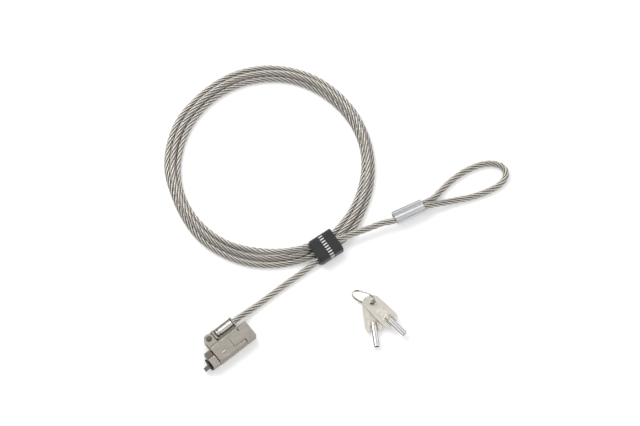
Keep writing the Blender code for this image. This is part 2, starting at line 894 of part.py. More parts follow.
def strand_offset(sign):
    """Where one of the sleeve's two strands runs: sign -1 is the upper one, +1 the lower one."""
    half = strand_spacing / 2
    return (
        sign * half * math.cos(sleeve_roll),
        sleeve_radius + table_gap + half * math.sin(sleeve_roll) * (1 - sign),
    )


def make_sleeve():
    """An oval crimp sleeve with a bore for each strand, rolled on its side."""
    pieces = []
    for name, sign in (("eye_sleeve", -1), ("sleeve_lower", 1)):
        side, height = strand_offset(sign)
        barrel = rod(
            name, "X", -sleeve_length / 2, sleeve_length / 2, (0, 0), sleeve_radius,
            sleeve_alloy if sign < 0 else None,
        )
        barrel.location = sleeve_point(0, side, height)
        barrel.rotation_euler = (0, 0, sleeve_angle)
        pieces.append(barrel)
    sleeve, lower = pieces
    side_a, height_a = strand_offset(-1)
    side_b, height_b = strand_offset(1)
    web = box(
        "sleeve_web",
        (-sleeve_length / 2, -strand_spacing / 2, -sleeve_radius),
        (sleeve_length / 2, strand_spacing / 2, sleeve_radius),
    )
    web.location = sleeve_point(0, (side_a + side_b) / 2, (height_a + height_b) / 2)
    web.rotation_mode = "QUATERNION"
    across = Vector((0, side_b - side_a, height_b - height_a))
    roll = Matrix.Rotation(math.atan2(across.z, across.y), 4, "X")
    web.rotation_quaternion = (Matrix.Rotation(sleeve_angle, 4, "Z") @ roll).to_quaternion()
    join(sleeve, lower, web)
    for name, (side, height) in (
        ("bore_upper", (side_a, height_a)),
        ("bore_lower", (side_b, height_b)),
    ):
        bore = rod(name, "X", -sleeve_length, sleeve_length, (0, 0), rope_radius + lock_gap)
        bore.location = sleeve_point(0, side, height)
        bore.rotation_euler = (0, 0, sleeve_angle)
        cut(sleeve, bore)
    return sleeve


def make_coil():
    """The outer shape of the coil's turns, with a groove where the strap goes round it."""
    middle = (coil_inner_radius + coil_outer_radius) / 2
    half = (coil_outer_radius - coil_inner_radius) / 2
    across = half - coil_corner_radius
    low = coil_corner_radius
    high = coil_height - coil_corner_radius
    profile = []
    for centre_r, centre_z, start in (
        (across, high, 90), (across, low, 0), (-across, low, -90), (-across, high, -180),
    ):
        for step in range(3):
            angle = math.radians(start - 45 * step)
            profile.append((
                middle + centre_r + coil_corner_radius * math.cos(angle),
                centre_z + coil_corner_radius * math.sin(angle),
            ))
    profile.append(profile[0])
    coil = turned("cable_coil", profile, rope_steel, coil_centre, sides=64, turn=(0, 0, 0))
    weld = coil.modifiers.new("weld", "WELD")
    weld.merge_threshold = 0.00001
    half_width = strap_width / 2 + seat_gap
    inner_side = strap_span / 2 - strap_thickness - seat_gap
    band_top = strap_thickness + seat_gap
    band_roof = strap_height - strap_thickness - seat_gap
    turn = Matrix.Rotation(strap_angle, 3, "Z")
    for name, start_y, start_z, end_z in (
        ("groove_inside", inner_side, -mm, coil_height + mm),
        ("groove_below", -2 * strap_span, -mm, band_top),
        ("groove_above", -2 * strap_span, band_roof, 2 * coil_height),
    ):
        groove = box(
            name, (-half_width, start_y, start_z), (half_width, 2 * strap_span, end_z)
        )
        groove.location = strap_centre + turn @ groove.location
        groove.rotation_euler = (0, 0, strap_angle)
        cut(coil, groove)
    return coil


def make_strap():
    strap = box(
        "cable_strap",
        (-strap_width / 2, -strap_span / 2, 0),
        (strap_width / 2, strap_span / 2, strap_height),
        black_tape,
    )
    ease(strap, strap_corner_radius, 3)
    strap.location += strap_centre
    strap.rotation_euler = (0, 0, strap_angle)
    inside = box(
        "strap_inside",
        (-strap_width, -strap_span / 2 + strap_thickness, strap_thickness),
        (strap_width, strap_span / 2 - strap_thickness, strap_height - strap_thickness),
    )
    inside.location += strap_centre
    inside.rotation_euler = (0, 0, strap_angle)
    cut(strap, inside)
    return strap


def make_rope():
    """The stretches of rope that aren't coiled."""
    lock_tail = [
        (ferrule_end + seat_gap, arm_axis_y, rope_axis_z),
        (ferrule_end + 6 * mm, arm_axis_y, rope_axis_z),
        (26 * mm, arm_axis_y - 0.2 * mm, 4.2 * mm),
        (34 * mm, 12.7 * mm, 3.1 * mm),
        (44 * mm, 12.4 * mm, rope_rest_z),
        (58 * mm, 12.3 * mm, rope_rest_z),
        (71 * mm, 11.9 * mm, rope_rest_z),
        (84 * mm, 11.0 * mm, rope_rest_z),
    ]
    upper_side, upper_height = strand_offset(-1)
    lower_side, lower_height = strand_offset(1)
    sleeve_in = -sleeve_length / 2
    sleeve_out = sleeve_length / 2
    loop_tail = [
        (134.5 * mm, 9.0 * mm, 7.4 * mm),
        (144.5 * mm, 5.8 * mm, 7.4 * mm),
        (154.5 * mm, 2.6 * mm, 7.5 * mm),
        sleeve_point(sleeve_in - 3 * mm, upper_side, upper_height),
        sleeve_point(sleeve_in - seat_gap, upper_side, upper_height),
    ]
    eye = [
        sleeve_point(sleeve_in, upper_side, upper_height),
        sleeve_point(0, upper_side, upper_height),
        sleeve_point(sleeve_out, upper_side, upper_height),
        sleeve_point(sleeve_out + 4 * mm, upper_side - 0.2 * mm, upper_height - 0.4 * mm),
        (200.4 * mm, -12.6 * mm, 5.2 * mm),
        (211.6 * mm, -17.7 * mm, 3.4 * mm),
        (222.6 * mm, -22.8 * mm, rope_rest_z),
        (235.0 * mm, -26.9 * mm, rope_rest_z),
        (245.5 * mm, -28.4 * mm, rope_rest_z),
        (252.6 * mm, -26.6 * mm, rope_rest_z),
        (256.2 * mm, -21.8 * mm, rope_rest_z),
        (255.0 * mm, -15.6 * mm, rope_rest_z),
        (249.6 * mm, -9.8 * mm, rope_rest_z),
        (241.2 * mm, -5.7 * mm, rope_rest_z),
        (230.6 * mm, -3.2 * mm, rope_rest_z),
        (219.0 * mm, -2.6 * mm, rope_rest_z),
        (207.4 * mm, -3.7 * mm, rope_rest_z),
        (198.4 * mm, -5.0 * mm, rope_rest_z + 0.5 * mm),
        sleeve_point(sleeve_out + 3 * mm, lower_side, lower_height - 0.1 * mm),
        sleeve_point(sleeve_out, lower_side, lower_height),
        sleeve_point(0, lower_side, lower_height),
        sleeve_point(sleeve_in + seat_gap, lower_side, lower_height),
    ]
    spacing = 4.4 * rope_radius
    tubes = []
    for name, knots in (
        ("cable_lock_tail", lock_tail),
        ("cable_loop_tail", loop_tail),
        ("cable_eye", eye),
    ):
        tubes.append(tube(name, smooth_route(knots, spacing), rope_radius, rope_steel))
    return tubes


def ring_wire_place(height):
    """The place of the ring's wire at a height, where it goes through the keys."""
    forward = Vector((math.cos(ring_direction), math.sin(ring_direction), 0))
    lean_way = Vector((-forward.y, forward.x, 0))
    rise = (height - ring_centre_z) / (ring_radius * math.cos(ring_lean))
    reach = ring_radius * math.sqrt(1 - rise**2)
    return forward * reach + lean_way * ring_radius * rise * math.sin(ring_lean)


ring_centre = key_hole_place - ring_wire_place((key_a_z + key_b_z) / 2)
ring_centre.z = ring_centre_z


def key_place(height):
    place = ring_centre + ring_wire_place(height)
    place.z = height
    return place


def make_ring():
    bpy.ops.mesh.primitive_torus_add(
        major_segments=36,
        minor_segments=8,
        major_radius=ring_radius,
        minor_radius=ring_wire_radius,
    )
    ring = bpy.context.object
    ring.name = "key_ring"
    ring.data.materials.append(bright_steel)
    for collection in list(ring.users_collection):
        collection.objects.unlink(ring)
    lock.objects.link(ring)
    # The torus lies flat: it is stood up across its direction, then leaned over.
    stand = Matrix.Rotation(math.pi / 2 - ring_lean, 4, "X")
    ring.rotation_mode = "QUATERNION"
    ring.rotation_quaternion = (Matrix.Rotation(ring_direction, 4, "Z") @ stand).to_quaternion()
    ring.location = ring_centre
    return ring


def bow_hull(name, inset, thickness, material=None):
    """The outline of the key's bow: one round end and two round shoulders, with tangents between."""
    shape = bmesh.new()
    circles = (
        (0, 0, key_end_radius),
        (key_waist_place, key_waist_half_width - key_waist_radius, key_waist_radius),
        (key_waist_place, -key_waist_half_width + key_waist_radius, key_waist_radius),
        (key_bow_length - key_shoulder_radius, key_half_width - key_shoulder_radius,
         key_shoulder_radius),
        (key_bow_length - key_shoulder_radius, -key_half_width + key_shoulder_radius,
         key_shoulder_radius),
    )
    for x, y, radius in circles:
        bmesh.ops.create_cone(
            shape,
            cap_ends=True,
            segments=24,
            radius1=radius - inset,
            radius2=radius - inset,
            depth=thickness,
            matrix=Matrix.Translation((x, y, 0)),
        )
    hull = bmesh.ops.convex_hull(shape, input=shape.verts)
    unused = [item for item in hull["geom_interior"] if isinstance(item, bmesh.types.BMVert)]
    bmesh.ops.delete(shape, geom=unused, context="VERTS")
    loose = [edge for edge in shape.edges if not edge.link_faces]
    bmesh.ops.delete(shape, geom=loose, context="EDGES")
    bmesh.ops.dissolve_limit(
        shape, angle_limit=math.radians(1), verts=shape.verts, edges=shape.edges
    )
    return add(name, shape, material)


def make_key(name):
    """A key along its body's +X, with the hole at the body's origin."""
    bow = bow_hull(f"{name}_bow", 0, key_bow_thickness + 2 * key_rim_height, key_nickel)
    recesses = []
    for side in (-1, 1):
        recess = bow_hull(f"{name}_recess", key_rim_width, 2 * mm)
        recess.location.z = side * (key_bow_thickness / 2 + mm)
        recesses.append(recess)
    hole = rod(f"{name}_hole", "Z", -3 * mm, 3 * mm, (0, 0), key_hole_radius)
    barrel_bed = rod(
        f"{name}_bed", "X", key_barrel_start - seat_gap, key_length, (0, 0),
        key_barrel_radius + seat_gap,
    )
    collar = rod(
        f"{name}_collar", "X", key_barrel_start - seat_gap - key_collar_length,
        key_barrel_start - seat_gap, (0, 0), key_barrel_radius - key_collar_inset,
    )
    cut(bow, *recesses)
    join(bow, collar)
    cut(bow, hole, barrel_bed)
    barrel = rod(
        f"{name}_barrel", "X", key_barrel_start, key_length, (0, 0), key_barrel_radius,
        bright_steel,
    )
    bore = rod(
        f"{name}_bore", "X", key_length - 2 * keyway_depth, key_length + mm, (0, 0),
        key_barrel_radius - key_barrel_wall, sides=20,
    )
    cut(barrel, bore)
    for piece in (bow, barrel):
        ease(piece, 0.2 * mm)
    helpers = [*recesses, hole, barrel_bed, collar, bore]
    return [bow, barrel], helpers


cable = body_at("cable")
arm_body = body_at("swivel_body", (arm_end, arm_axis_y, rope_axis_z))
housing_body = body_at("housing_body", (pivot_x, pivot_y, 0))
button_body = body_at("button_body", (head_rear, 0, lock_axis_z))
plug_body = body_at("plug_body", (keyway_bottom, 0, lock_axis_z))
latch_body = body_at("latch_body", (cam_front, 0, lock_axis_z))
ring_body = body_at("ring_body", ring_centre)

carry(cable, make_coil(), make_strap(), make_sleeve(), make_ferrule(), *make_rope())
carry(arm_body, make_arm())
carry(housing_body, *make_housing(), *make_nose(), make_pivot_pin())
carry(button_body, *make_button(), *make_cylinder(), make_latch_spring())
carry(plug_body, *make_plug())
carry(latch_body, make_latch())
carry(ring_body, make_ring())
for key_name, height, direction in (
    ("key_a", key_a_z, key_a_direction),
    ("key_b", key_b_z, key_b_direction),
):
    key_body = body_at(f"{key_name}_body", key_place(height), direction)
    key_pieces, key_helpers = make_key(key_name)
    for key_piece in (*key_pieces, *key_helpers):
        key_piece.parent = key_body

for piece in lock.objects:
    if piece.type == "MESH":
        piece.data.shade_smooth()
        piece.data.set_sharp_from_angle(angle=math.radians(35))
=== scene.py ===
import math

import bmesh
import bpy
from mathutils import Matrix, Vector


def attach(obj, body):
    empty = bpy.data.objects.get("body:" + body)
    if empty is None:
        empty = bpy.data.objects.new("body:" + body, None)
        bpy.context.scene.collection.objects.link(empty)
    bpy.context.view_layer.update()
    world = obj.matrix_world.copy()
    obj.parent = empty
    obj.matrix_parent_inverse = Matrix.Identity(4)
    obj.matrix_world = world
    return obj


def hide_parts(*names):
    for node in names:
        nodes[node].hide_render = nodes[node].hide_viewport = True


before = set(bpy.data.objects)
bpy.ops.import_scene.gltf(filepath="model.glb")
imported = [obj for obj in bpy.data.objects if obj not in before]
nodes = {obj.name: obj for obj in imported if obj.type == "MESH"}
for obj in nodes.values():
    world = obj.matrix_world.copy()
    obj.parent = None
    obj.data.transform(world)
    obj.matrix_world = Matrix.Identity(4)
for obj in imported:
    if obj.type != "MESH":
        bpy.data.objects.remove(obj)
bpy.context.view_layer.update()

mm = 0.001

meshing = {
    "weld": 0.002 * mm,
    "flatAngle": 0.6,              # degrees, under which two faces become one
    "bevelAngle": 35,
    "smoothAngle": 50,
    "spinSides": 72,
}


def newMaterial(name):
    material = bpy.data.materials.new(name)
    material.use_nodes = True
    tree = material.node_tree
    return material, tree, tree.nodes["Principled BSDF"]


def link(tree, source, target):
    tree.links.new(source, target)


def mathNode(tree, operation, first, second):
    node = tree.nodes.new("ShaderNodeMath")
    node.operation = operation
    for socket, value in zip(node.inputs, (first, second)):
        if isinstance(value, (int, float)):
            socket.default_value = value
        else:
            link(tree, value, socket)
    return node.outputs[0]


def noise(tree, coordinates, scale, detail, stretch=(1, 1, 1)):
    mapping = tree.nodes.new("ShaderNodeMapping")
    mapping.inputs["Scale"].default_value = stretch
    link(tree, coordinates, mapping.inputs["Vector"])
    node = tree.nodes.new("ShaderNodeTexNoise")
    node.inputs["Scale"].default_value = scale
    node.inputs["Detail"].default_value = detail
    node.inputs["Roughness"].default_value = 0.55
    link(tree, mapping.outputs["Vector"], node.inputs["Vector"])
    return node.outputs["Fac"]


def ramp(tree, value, stops):
    node = tree.nodes.new("ShaderNodeValToRGB")
    elements = node.color_ramp.elements
    for index, (place, colour) in enumerate(stops):
        element = elements[index] if index < 2 else elements.new(place)
        element.position = place
        element.color = (*colour, 1.0)
    link(tree, value, node.inputs["Fac"])
    return node.outputs["Color"]


def spread(tree, value, low, high):
    node = tree.nodes.new("ShaderNodeMapRange")
    node.inputs["To Min"].default_value = low
    node.inputs["To Max"].default_value = high
    link(tree, value, node.inputs["Value"])
    return node.outputs["Result"]


def bump(tree, shader, height, distance, strength):
    node = tree.nodes.new("ShaderNodeBump")
    node.inputs["Distance"].default_value = distance
    node.inputs["Strength"].default_value = strength
    link(tree, height, node.inputs["Height"])
    link(tree, node.outputs["Normal"], shader.inputs["Normal"])


def lightened(colour, share):
    return tuple(share * value for value in colour)


studio = {
    "target": (122.7 * mm, 41.0 * mm, 0.0),
    "azimuth": -38.5,
    "elevation": 74.0,
    "distance": 5.512,
    "lens": 400.0,
    # places of the lamps from the target: to the right, ahead and up
    "keyPlace": (-0.55, 0.5, 0.9),
    "keyPower": 7.0,
    "keySize": 0.75,
    "fillPlace": (0.8, -0.3, 0.8),
    "fillPower": 1.5,
    "fillSize": 0.7,
    "worldLight": 1.05,
    # height of the way looked, from 0 at the horizon to 1 overhead, and the light there
    "farBands": (
        (0.0, (0.42, 0.42, 0.43)), (0.22, (0.09, 0.085, 0.08)), (0.44, (0.14, 0.135, 0.13)),
        (0.58, (1.25, 1.25, 1.25)), (0.72, (1.2, 1.2, 1.2)), (0.86, (0.62, 0.62, 0.62)),
    ),
    "nearBands": (
        (0.0, (0.5, 0.5, 0.5)), (0.3, (0.28, 0.28, 0.28)), (0.5, (0.7, 0.7, 0.7)),
        (0.7, (0.95, 0.95, 0.95)), (0.86, (0.62, 0.62, 0.62)),
    ),
    "nearFade": (0.0, -0.6),       # along Y, from the far bands to the near ones
    "floorHalf": 6.0,
    "floorColour": (0.92, 0.92, 0.92),
    "floorRoughness": 0.9,
    "floorShine": 0.1,
    "floorGlow": 0.2,
}


def lookAt(item, target):
    way = Vector(target) - item.location
    item.rotation_mode = "QUATERNION"
    item.rotation_quaternion = way.to_track_quat("-Z", "Y")


def buildCamera():
    azimuth = math.radians(studio["azimuth"])
    elevation = math.radians(studio["elevation"])
    back = Vector((
        math.sin(azimuth) * math.cos(elevation),
        -math.cos(azimuth) * math.cos(elevation),
        math.sin(elevation),
    ))
    target = Vector(studio["target"])
    lens = bpy.data.cameras.new("camera")
    lens.lens = studio["lens"]
    lens.clip_start = 0.1
    camera = bpy.data.objects.new("camera", lens)
    camera.location = target + back * studio["distance"]
    bpy.context.scene.collection.objects.link(camera)
    lookAt(camera, target)
    bpy.context.scene.camera = camera


def buildLamps():
    azimuth = math.radians(studio["azimuth"])
    target = Vector(studio["target"])
    right = Vector((math.cos(azimuth), math.sin(azimuth), 0))
    ahead = Vector((-math.sin(azimuth), math.cos(azimuth), 0))
    for name, (side, front, height), size, power in (
        ("keyLight", studio["keyPlace"], studio["keySize"], studio["keyPower"]),
        ("fillLight", studio["fillPlace"], studio["fillSize"], studio["fillPower"]),
    ):
        lamp = bpy.data.lights.new(name, "AREA")
        lamp.size = size
        lamp.energy = power
        item = bpy.data.objects.new(name, lamp)
        item.location = target + right * side + ahead * front + Vector((0, 0, height))
        bpy.context.scene.collection.objects.link(item)
        lookAt(item, target)


def buildWorld():
    world = bpy.data.worlds.new("studioWorld")
    world.use_nodes = True
    tree = world.node_tree
    backdrop = tree.nodes["Background"]
    backdrop.inputs["Strength"].default_value = studio["worldLight"]
    way = tree.nodes.new("ShaderNodeTexCoord")
    split = tree.nodes.new("ShaderNodeSeparateXYZ")
    link(tree, way.outputs["Generated"], split.inputs["Vector"])
    nearSide = tree.nodes.new("ShaderNodeMapRange")
    nearSide.inputs["From Min"].default_value = studio["nearFade"][0]
    nearSide.inputs["From Max"].default_value = studio["nearFade"][1]
    link(tree, split.outputs["Y"], nearSide.inputs["Value"])
    mix = tree.nodes.new("ShaderNodeMix")
    mix.data_type = "RGBA"
    link(tree, nearSide.outputs["Result"], mix.inputs["Factor"])
    link(tree, ramp(tree, split.outputs["Z"], studio["farBands"]), mix.inputs["A"])
    link(tree, ramp(tree, split.outputs["Z"], studio["nearBands"]), mix.inputs["B"])
    link(tree, mix.outputs["Result"], backdrop.inputs["Color"])
    bpy.context.scene.world = world


def buildFloor():
    shape = bmesh.new()
    bmesh.ops.create_grid(shape, x_segments=1, y_segments=1, size=studio["floorHalf"])
    mesh = bpy.data.meshes.new("floor")
    shape.to_mesh(mesh)
    shape.free()
    floor = bpy.data.objects.new("floor", mesh)
    bpy.context.scene.collection.objects.link(floor)
    material, tree, shader = newMaterial("floorPaper")
    shader.inputs["Base Color"].default_value = (*studio["floorColour"], 1.0)
    shader.inputs["Roughness"].default_value = studio["floorRoughness"]
    shader.inputs["Specular IOR Level"].default_value = studio["floorShine"]
    shader.inputs["Emission Color"].default_value = (1.0, 1.0, 1.0, 1.0)
    shader.inputs["Emission Strength"].default_value = studio["floorGlow"]
    mesh.materials.append(material)


def buildStudio():
    buildCamera()
    buildLamps()
    buildWorld()
    buildFloor()
    bpy.context.scene.view_settings.view_transform = "Standard"
    print("studio ready")


rope = {
    "radius": 2.45 * mm,
    "strands": 6,
    "lay": 31.0 * mm,              # length of one full turn of a strand
    "pointsPerStrand": 9,
    "curveSpacing": 0.8 * mm,
    "ringSpacing": 1.25 * mm,
    "restHeight": 2.5 * mm,
    "exit": (13.6 * mm, 13.2 * mm, 5.3 * mm),
    "length": 1.8,
    "wiresAround": 54,
    "wireDepth": 0.03 * mm,
    "low": (0.46, 0.435, 0.395),
    "high": (0.64, 0.615, 0.57),
    # painted shade: the dark colour laid into the grooves between strands
    "groove": (0.12, 0.105, 0.09),
    "rough": (0.27, 0.37),
}

coil = {
    "centre": (115.4 * mm, 94.2 * mm),
    "strapAngle": 264.3,
    "strapRadius": 79.0 * mm,
    "strapHeight": 3.4 * mm,       # of the strands that lie on the band
    "climb": 4.7 * mm,             # of the inner turn over the others, beside the strap
    "tuck": 0.3 * mm,
    "climbStart": 312,             # degrees from the strap
    "climbSpread": 22,
    "strapSpread": 24,             # degrees over which the turns rise on to the band
    "stepsPerTurn": 24,
    # degrees from the strap, and the bundle's inner and outer edge there in mm
    "edges": (
        (0, 71.6, 86.4), (20, 70.2, 84.0), (38, 70.2, 82.3), (60, 71.0, 81.3), (80, 70.8, 80.7),
        (100, 69.0, 80.9), (130, 68.7, 81.7), (160, 67.9, 82.0), (190, 67.7, 81.2),
        (215, 68.0, 82.6), (240, 69.2, 82.0), (260, 69.8, 80.0), (285, 68.8, 82.0),
        (318, 66.6, 82.5), (338, 68.6, 82.0), (360, 71.6, 81.6),
    ),
}

sleeve = {
    "centre": (176.0 * mm, -2.4 * mm),
    "angle": -13.5,
    "roll": 42.0,
    "length": 24.6 * mm,
    "radius": 4.05 * mm,
    "strandSpacing": 5.05 * mm,
    "bore": 2.57 * mm,
    "waist": 0.8 * mm,
    "lip": 0.45 * mm,
    "lift": 0.1 * mm,              # of its underside over the table
    "flare": 0.1 * mm,             # of the bore at both ends
    "colour": (0.52, 0.525, 0.54),
    "lighter": 1.18,
    "rough": (0.34, 0.46),
    "grainDepth": 0.008 * mm,
}


def alongCurve(knots, spacing):
    knots = [Vector(knot) for knot in knots]
    ends = [2 * knots[0] - knots[1], *knots, 2 * knots[-1] - knots[-2]]
    points = []
    for before, start, end, after in zip(ends, ends[1:], ends[2:], ends[3:]):
        steps = max(1, round((end - start).length / spacing))
        for step in range(steps):
            t = step / steps
            points.append(
                0.5 * (2 * start + (end - before) * t
                       + (2 * before - 5 * start + 4 * end - after) * t**2
                       + (3 * start - before - 3 * end + after) * t**3)
            )
    points.append(knots[-1])
    return points


def smoothStep(value):
    value = min(1.0, max(0.0, value))
    return value * value * (3 - 2 * value)


def bundleEdges(angle):
    edges = coil["edges"]
    for (start, inA, outA), (end, inB, outB) in zip(edges, edges[1:]):
        if start <= angle <= end:
            share = smoothStep((angle - start) / (end - start))
            return (inA + (inB - inA) * share) * mm, (outA + (outB - outA) * share) * mm


def turnPlace(turn, angle):
    radius = rope["radius"]
    inner, outer = bundleEdges(angle)
    spacing = (outer - inner - 2 * radius) / 2
    lift = math.sqrt(max(0.0, (2 * radius)**2 - min(2 * radius, spacing)**2))
    near = coil["strapSpread"]
    inStrap = max(1 - smoothStep(angle / near), smoothStep((angle - 360 + near) / near))
    rest = rope["restHeight"] + (coil["strapHeight"] - rope["restHeight"]) * inStrap
    if turn == 0:
        return outer - radius, rest
    under = smoothStep((angle - coil["climbStart"]) / coil["climbSpread"])
    if turn == 1:
        reach = (inner + outer) / 2 - under * coil["tuck"]
        apart = min(2 * radius, outer - radius - reach)
        tucked = math.sqrt((2 * radius)**2 - apart**2)
        return reach, rest + lift + (tucked - lift) * under
    return inner + radius, rest + coil["climb"] * under


def coilKnots():
    knots = []
    steps = coil["stepsPerTurn"]
    for turn in range(3):
        for step in range(steps + (turn == 2)):
            angle = 360 * step / steps
            if turn == 0 and step == 0:
                reach = coil["strapRadius"] + 2 * rope["radius"]
                height = coil["strapHeight"]
            else:
                reach, height = turnPlace(turn, angle)
            around = math.radians(coil["strapAngle"] + angle)
            knots.append((
                coil["centre"][0] + reach * math.cos(around),
                coil["centre"][1] + reach * math.sin(around),
                height,
            ))
    return knots


def sleevePoint(along, side, height):
    turn = Matrix.Rotation(math.radians(sleeve["angle"]), 3, "Z")
    centre = Vector((*sleeve["centre"], 0))
    return centre + turn @ Vector((along, side, height))


def strandOffset(sign):
    half = sleeve["strandSpacing"] / 2
    roll = math.radians(sleeve["roll"])
    return (
        sign * half * math.cos(roll),
        sleeve["radius"] + sleeve["lift"] + half * math.sin(roll) * (1 - sign),
    )


def ropeKnots():
    x, y, z = rope["exit"]
    rest = rope["restHeight"]
    lockTail = [
        (x, y, z),
        (19.6 * mm, y, z),
        (26 * mm, 13.0 * mm, 4.2 * mm),
        (34 * mm, 12.7 * mm, 3.1 * mm),
        (44 * mm, 12.4 * mm, rest),
        (58 * mm, 12.3 * mm, rest),
        (71 * mm, 11.9 * mm, rest),
        (84 * mm, 11.4 * mm, rest),
        (96 * mm, 11.4 * mm, 3.2 * mm),
    ]
    upperSide, upperHeight = strandOffset(-1)
    lowerSide, lowerHeight = strandOffset(1)
    halfSleeve = sleeve["length"] / 2
    loopTail = [
        (118.0 * mm, 14.1 * mm, 8.1 * mm),
        (126.0 * mm, 11.8 * mm, 7.8 * mm),
        (134.5 * mm, 9.0 * mm, 7.4 * mm),
        (144.5 * mm, 5.8 * mm, 7.4 * mm),
        (154.5 * mm, 2.6 * mm, 7.5 * mm),
        sleevePoint(-halfSleeve - 3 * mm, upperSide, upperHeight),
    ]
    eye = [
        sleevePoint(-halfSleeve, upperSide, upperHeight),
        sleevePoint(0, upperSide, upperHeight),
        sleevePoint(halfSleeve, upperSide, upperHeight),
        sleevePoint(halfSleeve + 4 * mm, upperSide - 0.2 * mm, upperHeight - 0.4 * mm),
        (200.4 * mm, -12.6 * mm, 5.2 * mm),
        (211.6 * mm, -17.7 * mm, 3.4 * mm),
        (222.6 * mm, -22.8 * mm, rest),
        (235.0 * mm, -26.9 * mm, rest),
        (245.5 * mm, -28.4 * mm, rest),
        (252.6 * mm, -26.6 * mm, rest),
        (256.2 * mm, -21.8 * mm, rest),
        (255.0 * mm, -15.6 * mm, rest),
        (249.6 * mm, -9.8 * mm, rest),
        (241.2 * mm, -5.7 * mm, rest),
        (230.6 * mm, -3.2 * mm, rest),
        (219.0 * mm, -2.6 * mm, rest),
        (207.4 * mm, -3.7 * mm, rest),
        (198.4 * mm, -5.0 * mm, rest + 0.5 * mm),
        sleevePoint(halfSleeve + 3 * mm, lowerSide, lowerHeight - 0.1 * mm),
        sleevePoint(halfSleeve, lowerSide, lowerHeight),
        sleevePoint(0, lowerSide, lowerHeight),
        sleevePoint(-halfSleeve + 1.2 * mm, lowerSide, lowerHeight),
    ]
    return lockTail + coilKnots() + loopTail + eye


def evenPoints(points, spacing):
    lengths = [0.0]
    for first, second in zip(points, points[1:]):
        lengths.append(lengths[-1] + (second - first).length)
    count = round(lengths[-1] / spacing)
    even = []
    index = 0
    for step in range(count + 1):
        wanted = lengths[-1] * step / count
        while index < len(points) - 2 and lengths[index + 1] < wanted:
            index += 1
        share = (wanted - lengths[index]) / (lengths[index + 1] - lengths[index])
        even.append(points[index].lerp(points[index + 1], share))
    return even, lengths[-1]


def strandSection():
    radius = rope["radius"]
    strand = radius / 3
    centre = radius - strand
    count = rope["pointsPerStrand"]
    section = []
    for strandNumber in range(rope["strands"]):
        for step in range(count):
            share = (step + 0.5) / count - 0.5
            turn = share * 2 * math.pi / rope["strands"]
            reach = centre * math.cos(turn) + math.sqrt(strand**2 - (centre * math.sin(turn))**2)
            angle = 2 * math.pi * strandNumber / rope["strands"] + turn
            section.append((angle, reach, abs(share) * 2))
    return section


def buildRope():
    dense = alongCurve(ropeKnots(), rope["curveSpacing"])
    path, length = evenPoints(dense, rope["ringSpacing"])
    section = strandSection()
    count = len(section)
    verts, faces, uvs, depths = [], [], [], []
    along = (path[1] - path[0]).normalized()
    side = along.cross(Vector((0, 0, 1))).normalized()
    walked = 0.0
    reached = []
    for index, point in enumerate(path):
        before = path[max(0, index - 1)]
        after = path[min(len(path) - 1, index + 1)]
        newAlong = (after - before).normalized()
        side = along.rotation_difference(newAlong) @ side
        side = (side - newAlong * side.dot(newAlong)).normalized()
        along = newAlong
        up = along.cross(side)
        if index:
            walked += (point - path[index - 1]).length
        twist = 2 * math.pi * walked / rope["lay"]
        reached.append(walked)
        for angle, reach, depth in section:
            across = side * math.cos(angle + twist) + up * math.sin(angle + twist)
            verts.append(point + across * reach)
            depths.append(depth)
    for ring in range(len(path) - 1):
        low, high = ring * count, (ring + 1) * count
        for step in range(count):
            following = (step + 1) % count
            faces.append((low + step, low + following, high + following, high + step))
            first, second = step / count, (step + 1) / count
            a, b = reached[ring], reached[ring + 1]
            uvs += [
                (first + a / rope["lay"], a), (second + a / rope["lay"], a),
                (second + b / rope["lay"], b), (first + b / rope["lay"], b),
            ]
    for start, backwards in ((0, True), ((len(path) - 1) * count, False)):
        cap = list(range(start, start + count))
        faces.append(tuple(reversed(cap)) if backwards else tuple(cap))
        uvs += [(0.0, 0.0)] * count
    mesh = bpy.data.meshes.new("steelRope")
    mesh.from_pydata([tuple(v) for v in verts], [], faces)
    layer = mesh.uv_layers.new(name="strandUV")
    layer.data.foreach_set("uv", [value for pair in uvs for value in pair])
    # how near each point lies to its strand's edge, the mask of the painted groove shade
    groove = mesh.attributes.new("groove", "FLOAT", "POINT")
    groove.data.foreach_set("value", depths)
    mesh.shade_smooth()
    mesh.materials.append(ropeSteel())
    piece = bpy.data.objects.new("steelRope", mesh)
    bpy.context.scene.collection.objects.link(piece)
    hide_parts("cable_coil", "cable_lock_tail", "cable_loop_tail", "cable_eye")
    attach(piece, "cable")
    print("rope", round(length * 1000), "mm,", len(faces), "faces")
    return piece, path


def ropeSteel():
    material, tree, shader = newMaterial("ropeSteel")
    uv = tree.nodes.new("ShaderNodeUVMap")
    uv.uv_map = "strandUV"
    split = tree.nodes.new("ShaderNodeSeparateXYZ")
    link(tree, uv.outputs["UV"], split.inputs["Vector"])
    grooveNode = tree.nodes.new("ShaderNodeAttribute")
    grooveNode.attribute_name = "groove"
    coords = tree.nodes.new("ShaderNodeTexCoord")
    mottled = noise(tree, coords.outputs["Object"], 900, detail=2)
    colour = ramp(tree, mottled, ((0.3, rope["low"]), (0.7, rope["high"])))
    # darken the colour towards each strand's edges: painted shade between the strands
    paintedGrooveShade = ramp(tree, grooveNode.outputs["Fac"], ((0.35, (1, 1, 1)), (0.95, rope["groove"])))
    mix = tree.nodes.new("ShaderNodeMix")
    mix.data_type = "RGBA"
    mix.blend_type = "MULTIPLY"
    mix.inputs["Factor"].default_value = 1.0
    link(tree, colour, mix.inputs["A"])
    link(tree, paintedGrooveShade, mix.inputs["B"])
    link(tree, mix.outputs["Result"], shader.inputs["Base Color"])
    shader.inputs["Metallic"].default_value = 1.0
    link(tree, spread(tree, mottled, *rope["rough"]), shader.inputs["Roughness"])
    wires = mathNode(tree, "SINE", mathNode(
        tree, "MULTIPLY", split.outputs["X"], 2 * math.pi * rope["wiresAround"]), 0)
    bump(tree, shader, wires, rope["wireDepth"], 0.6)
    return material
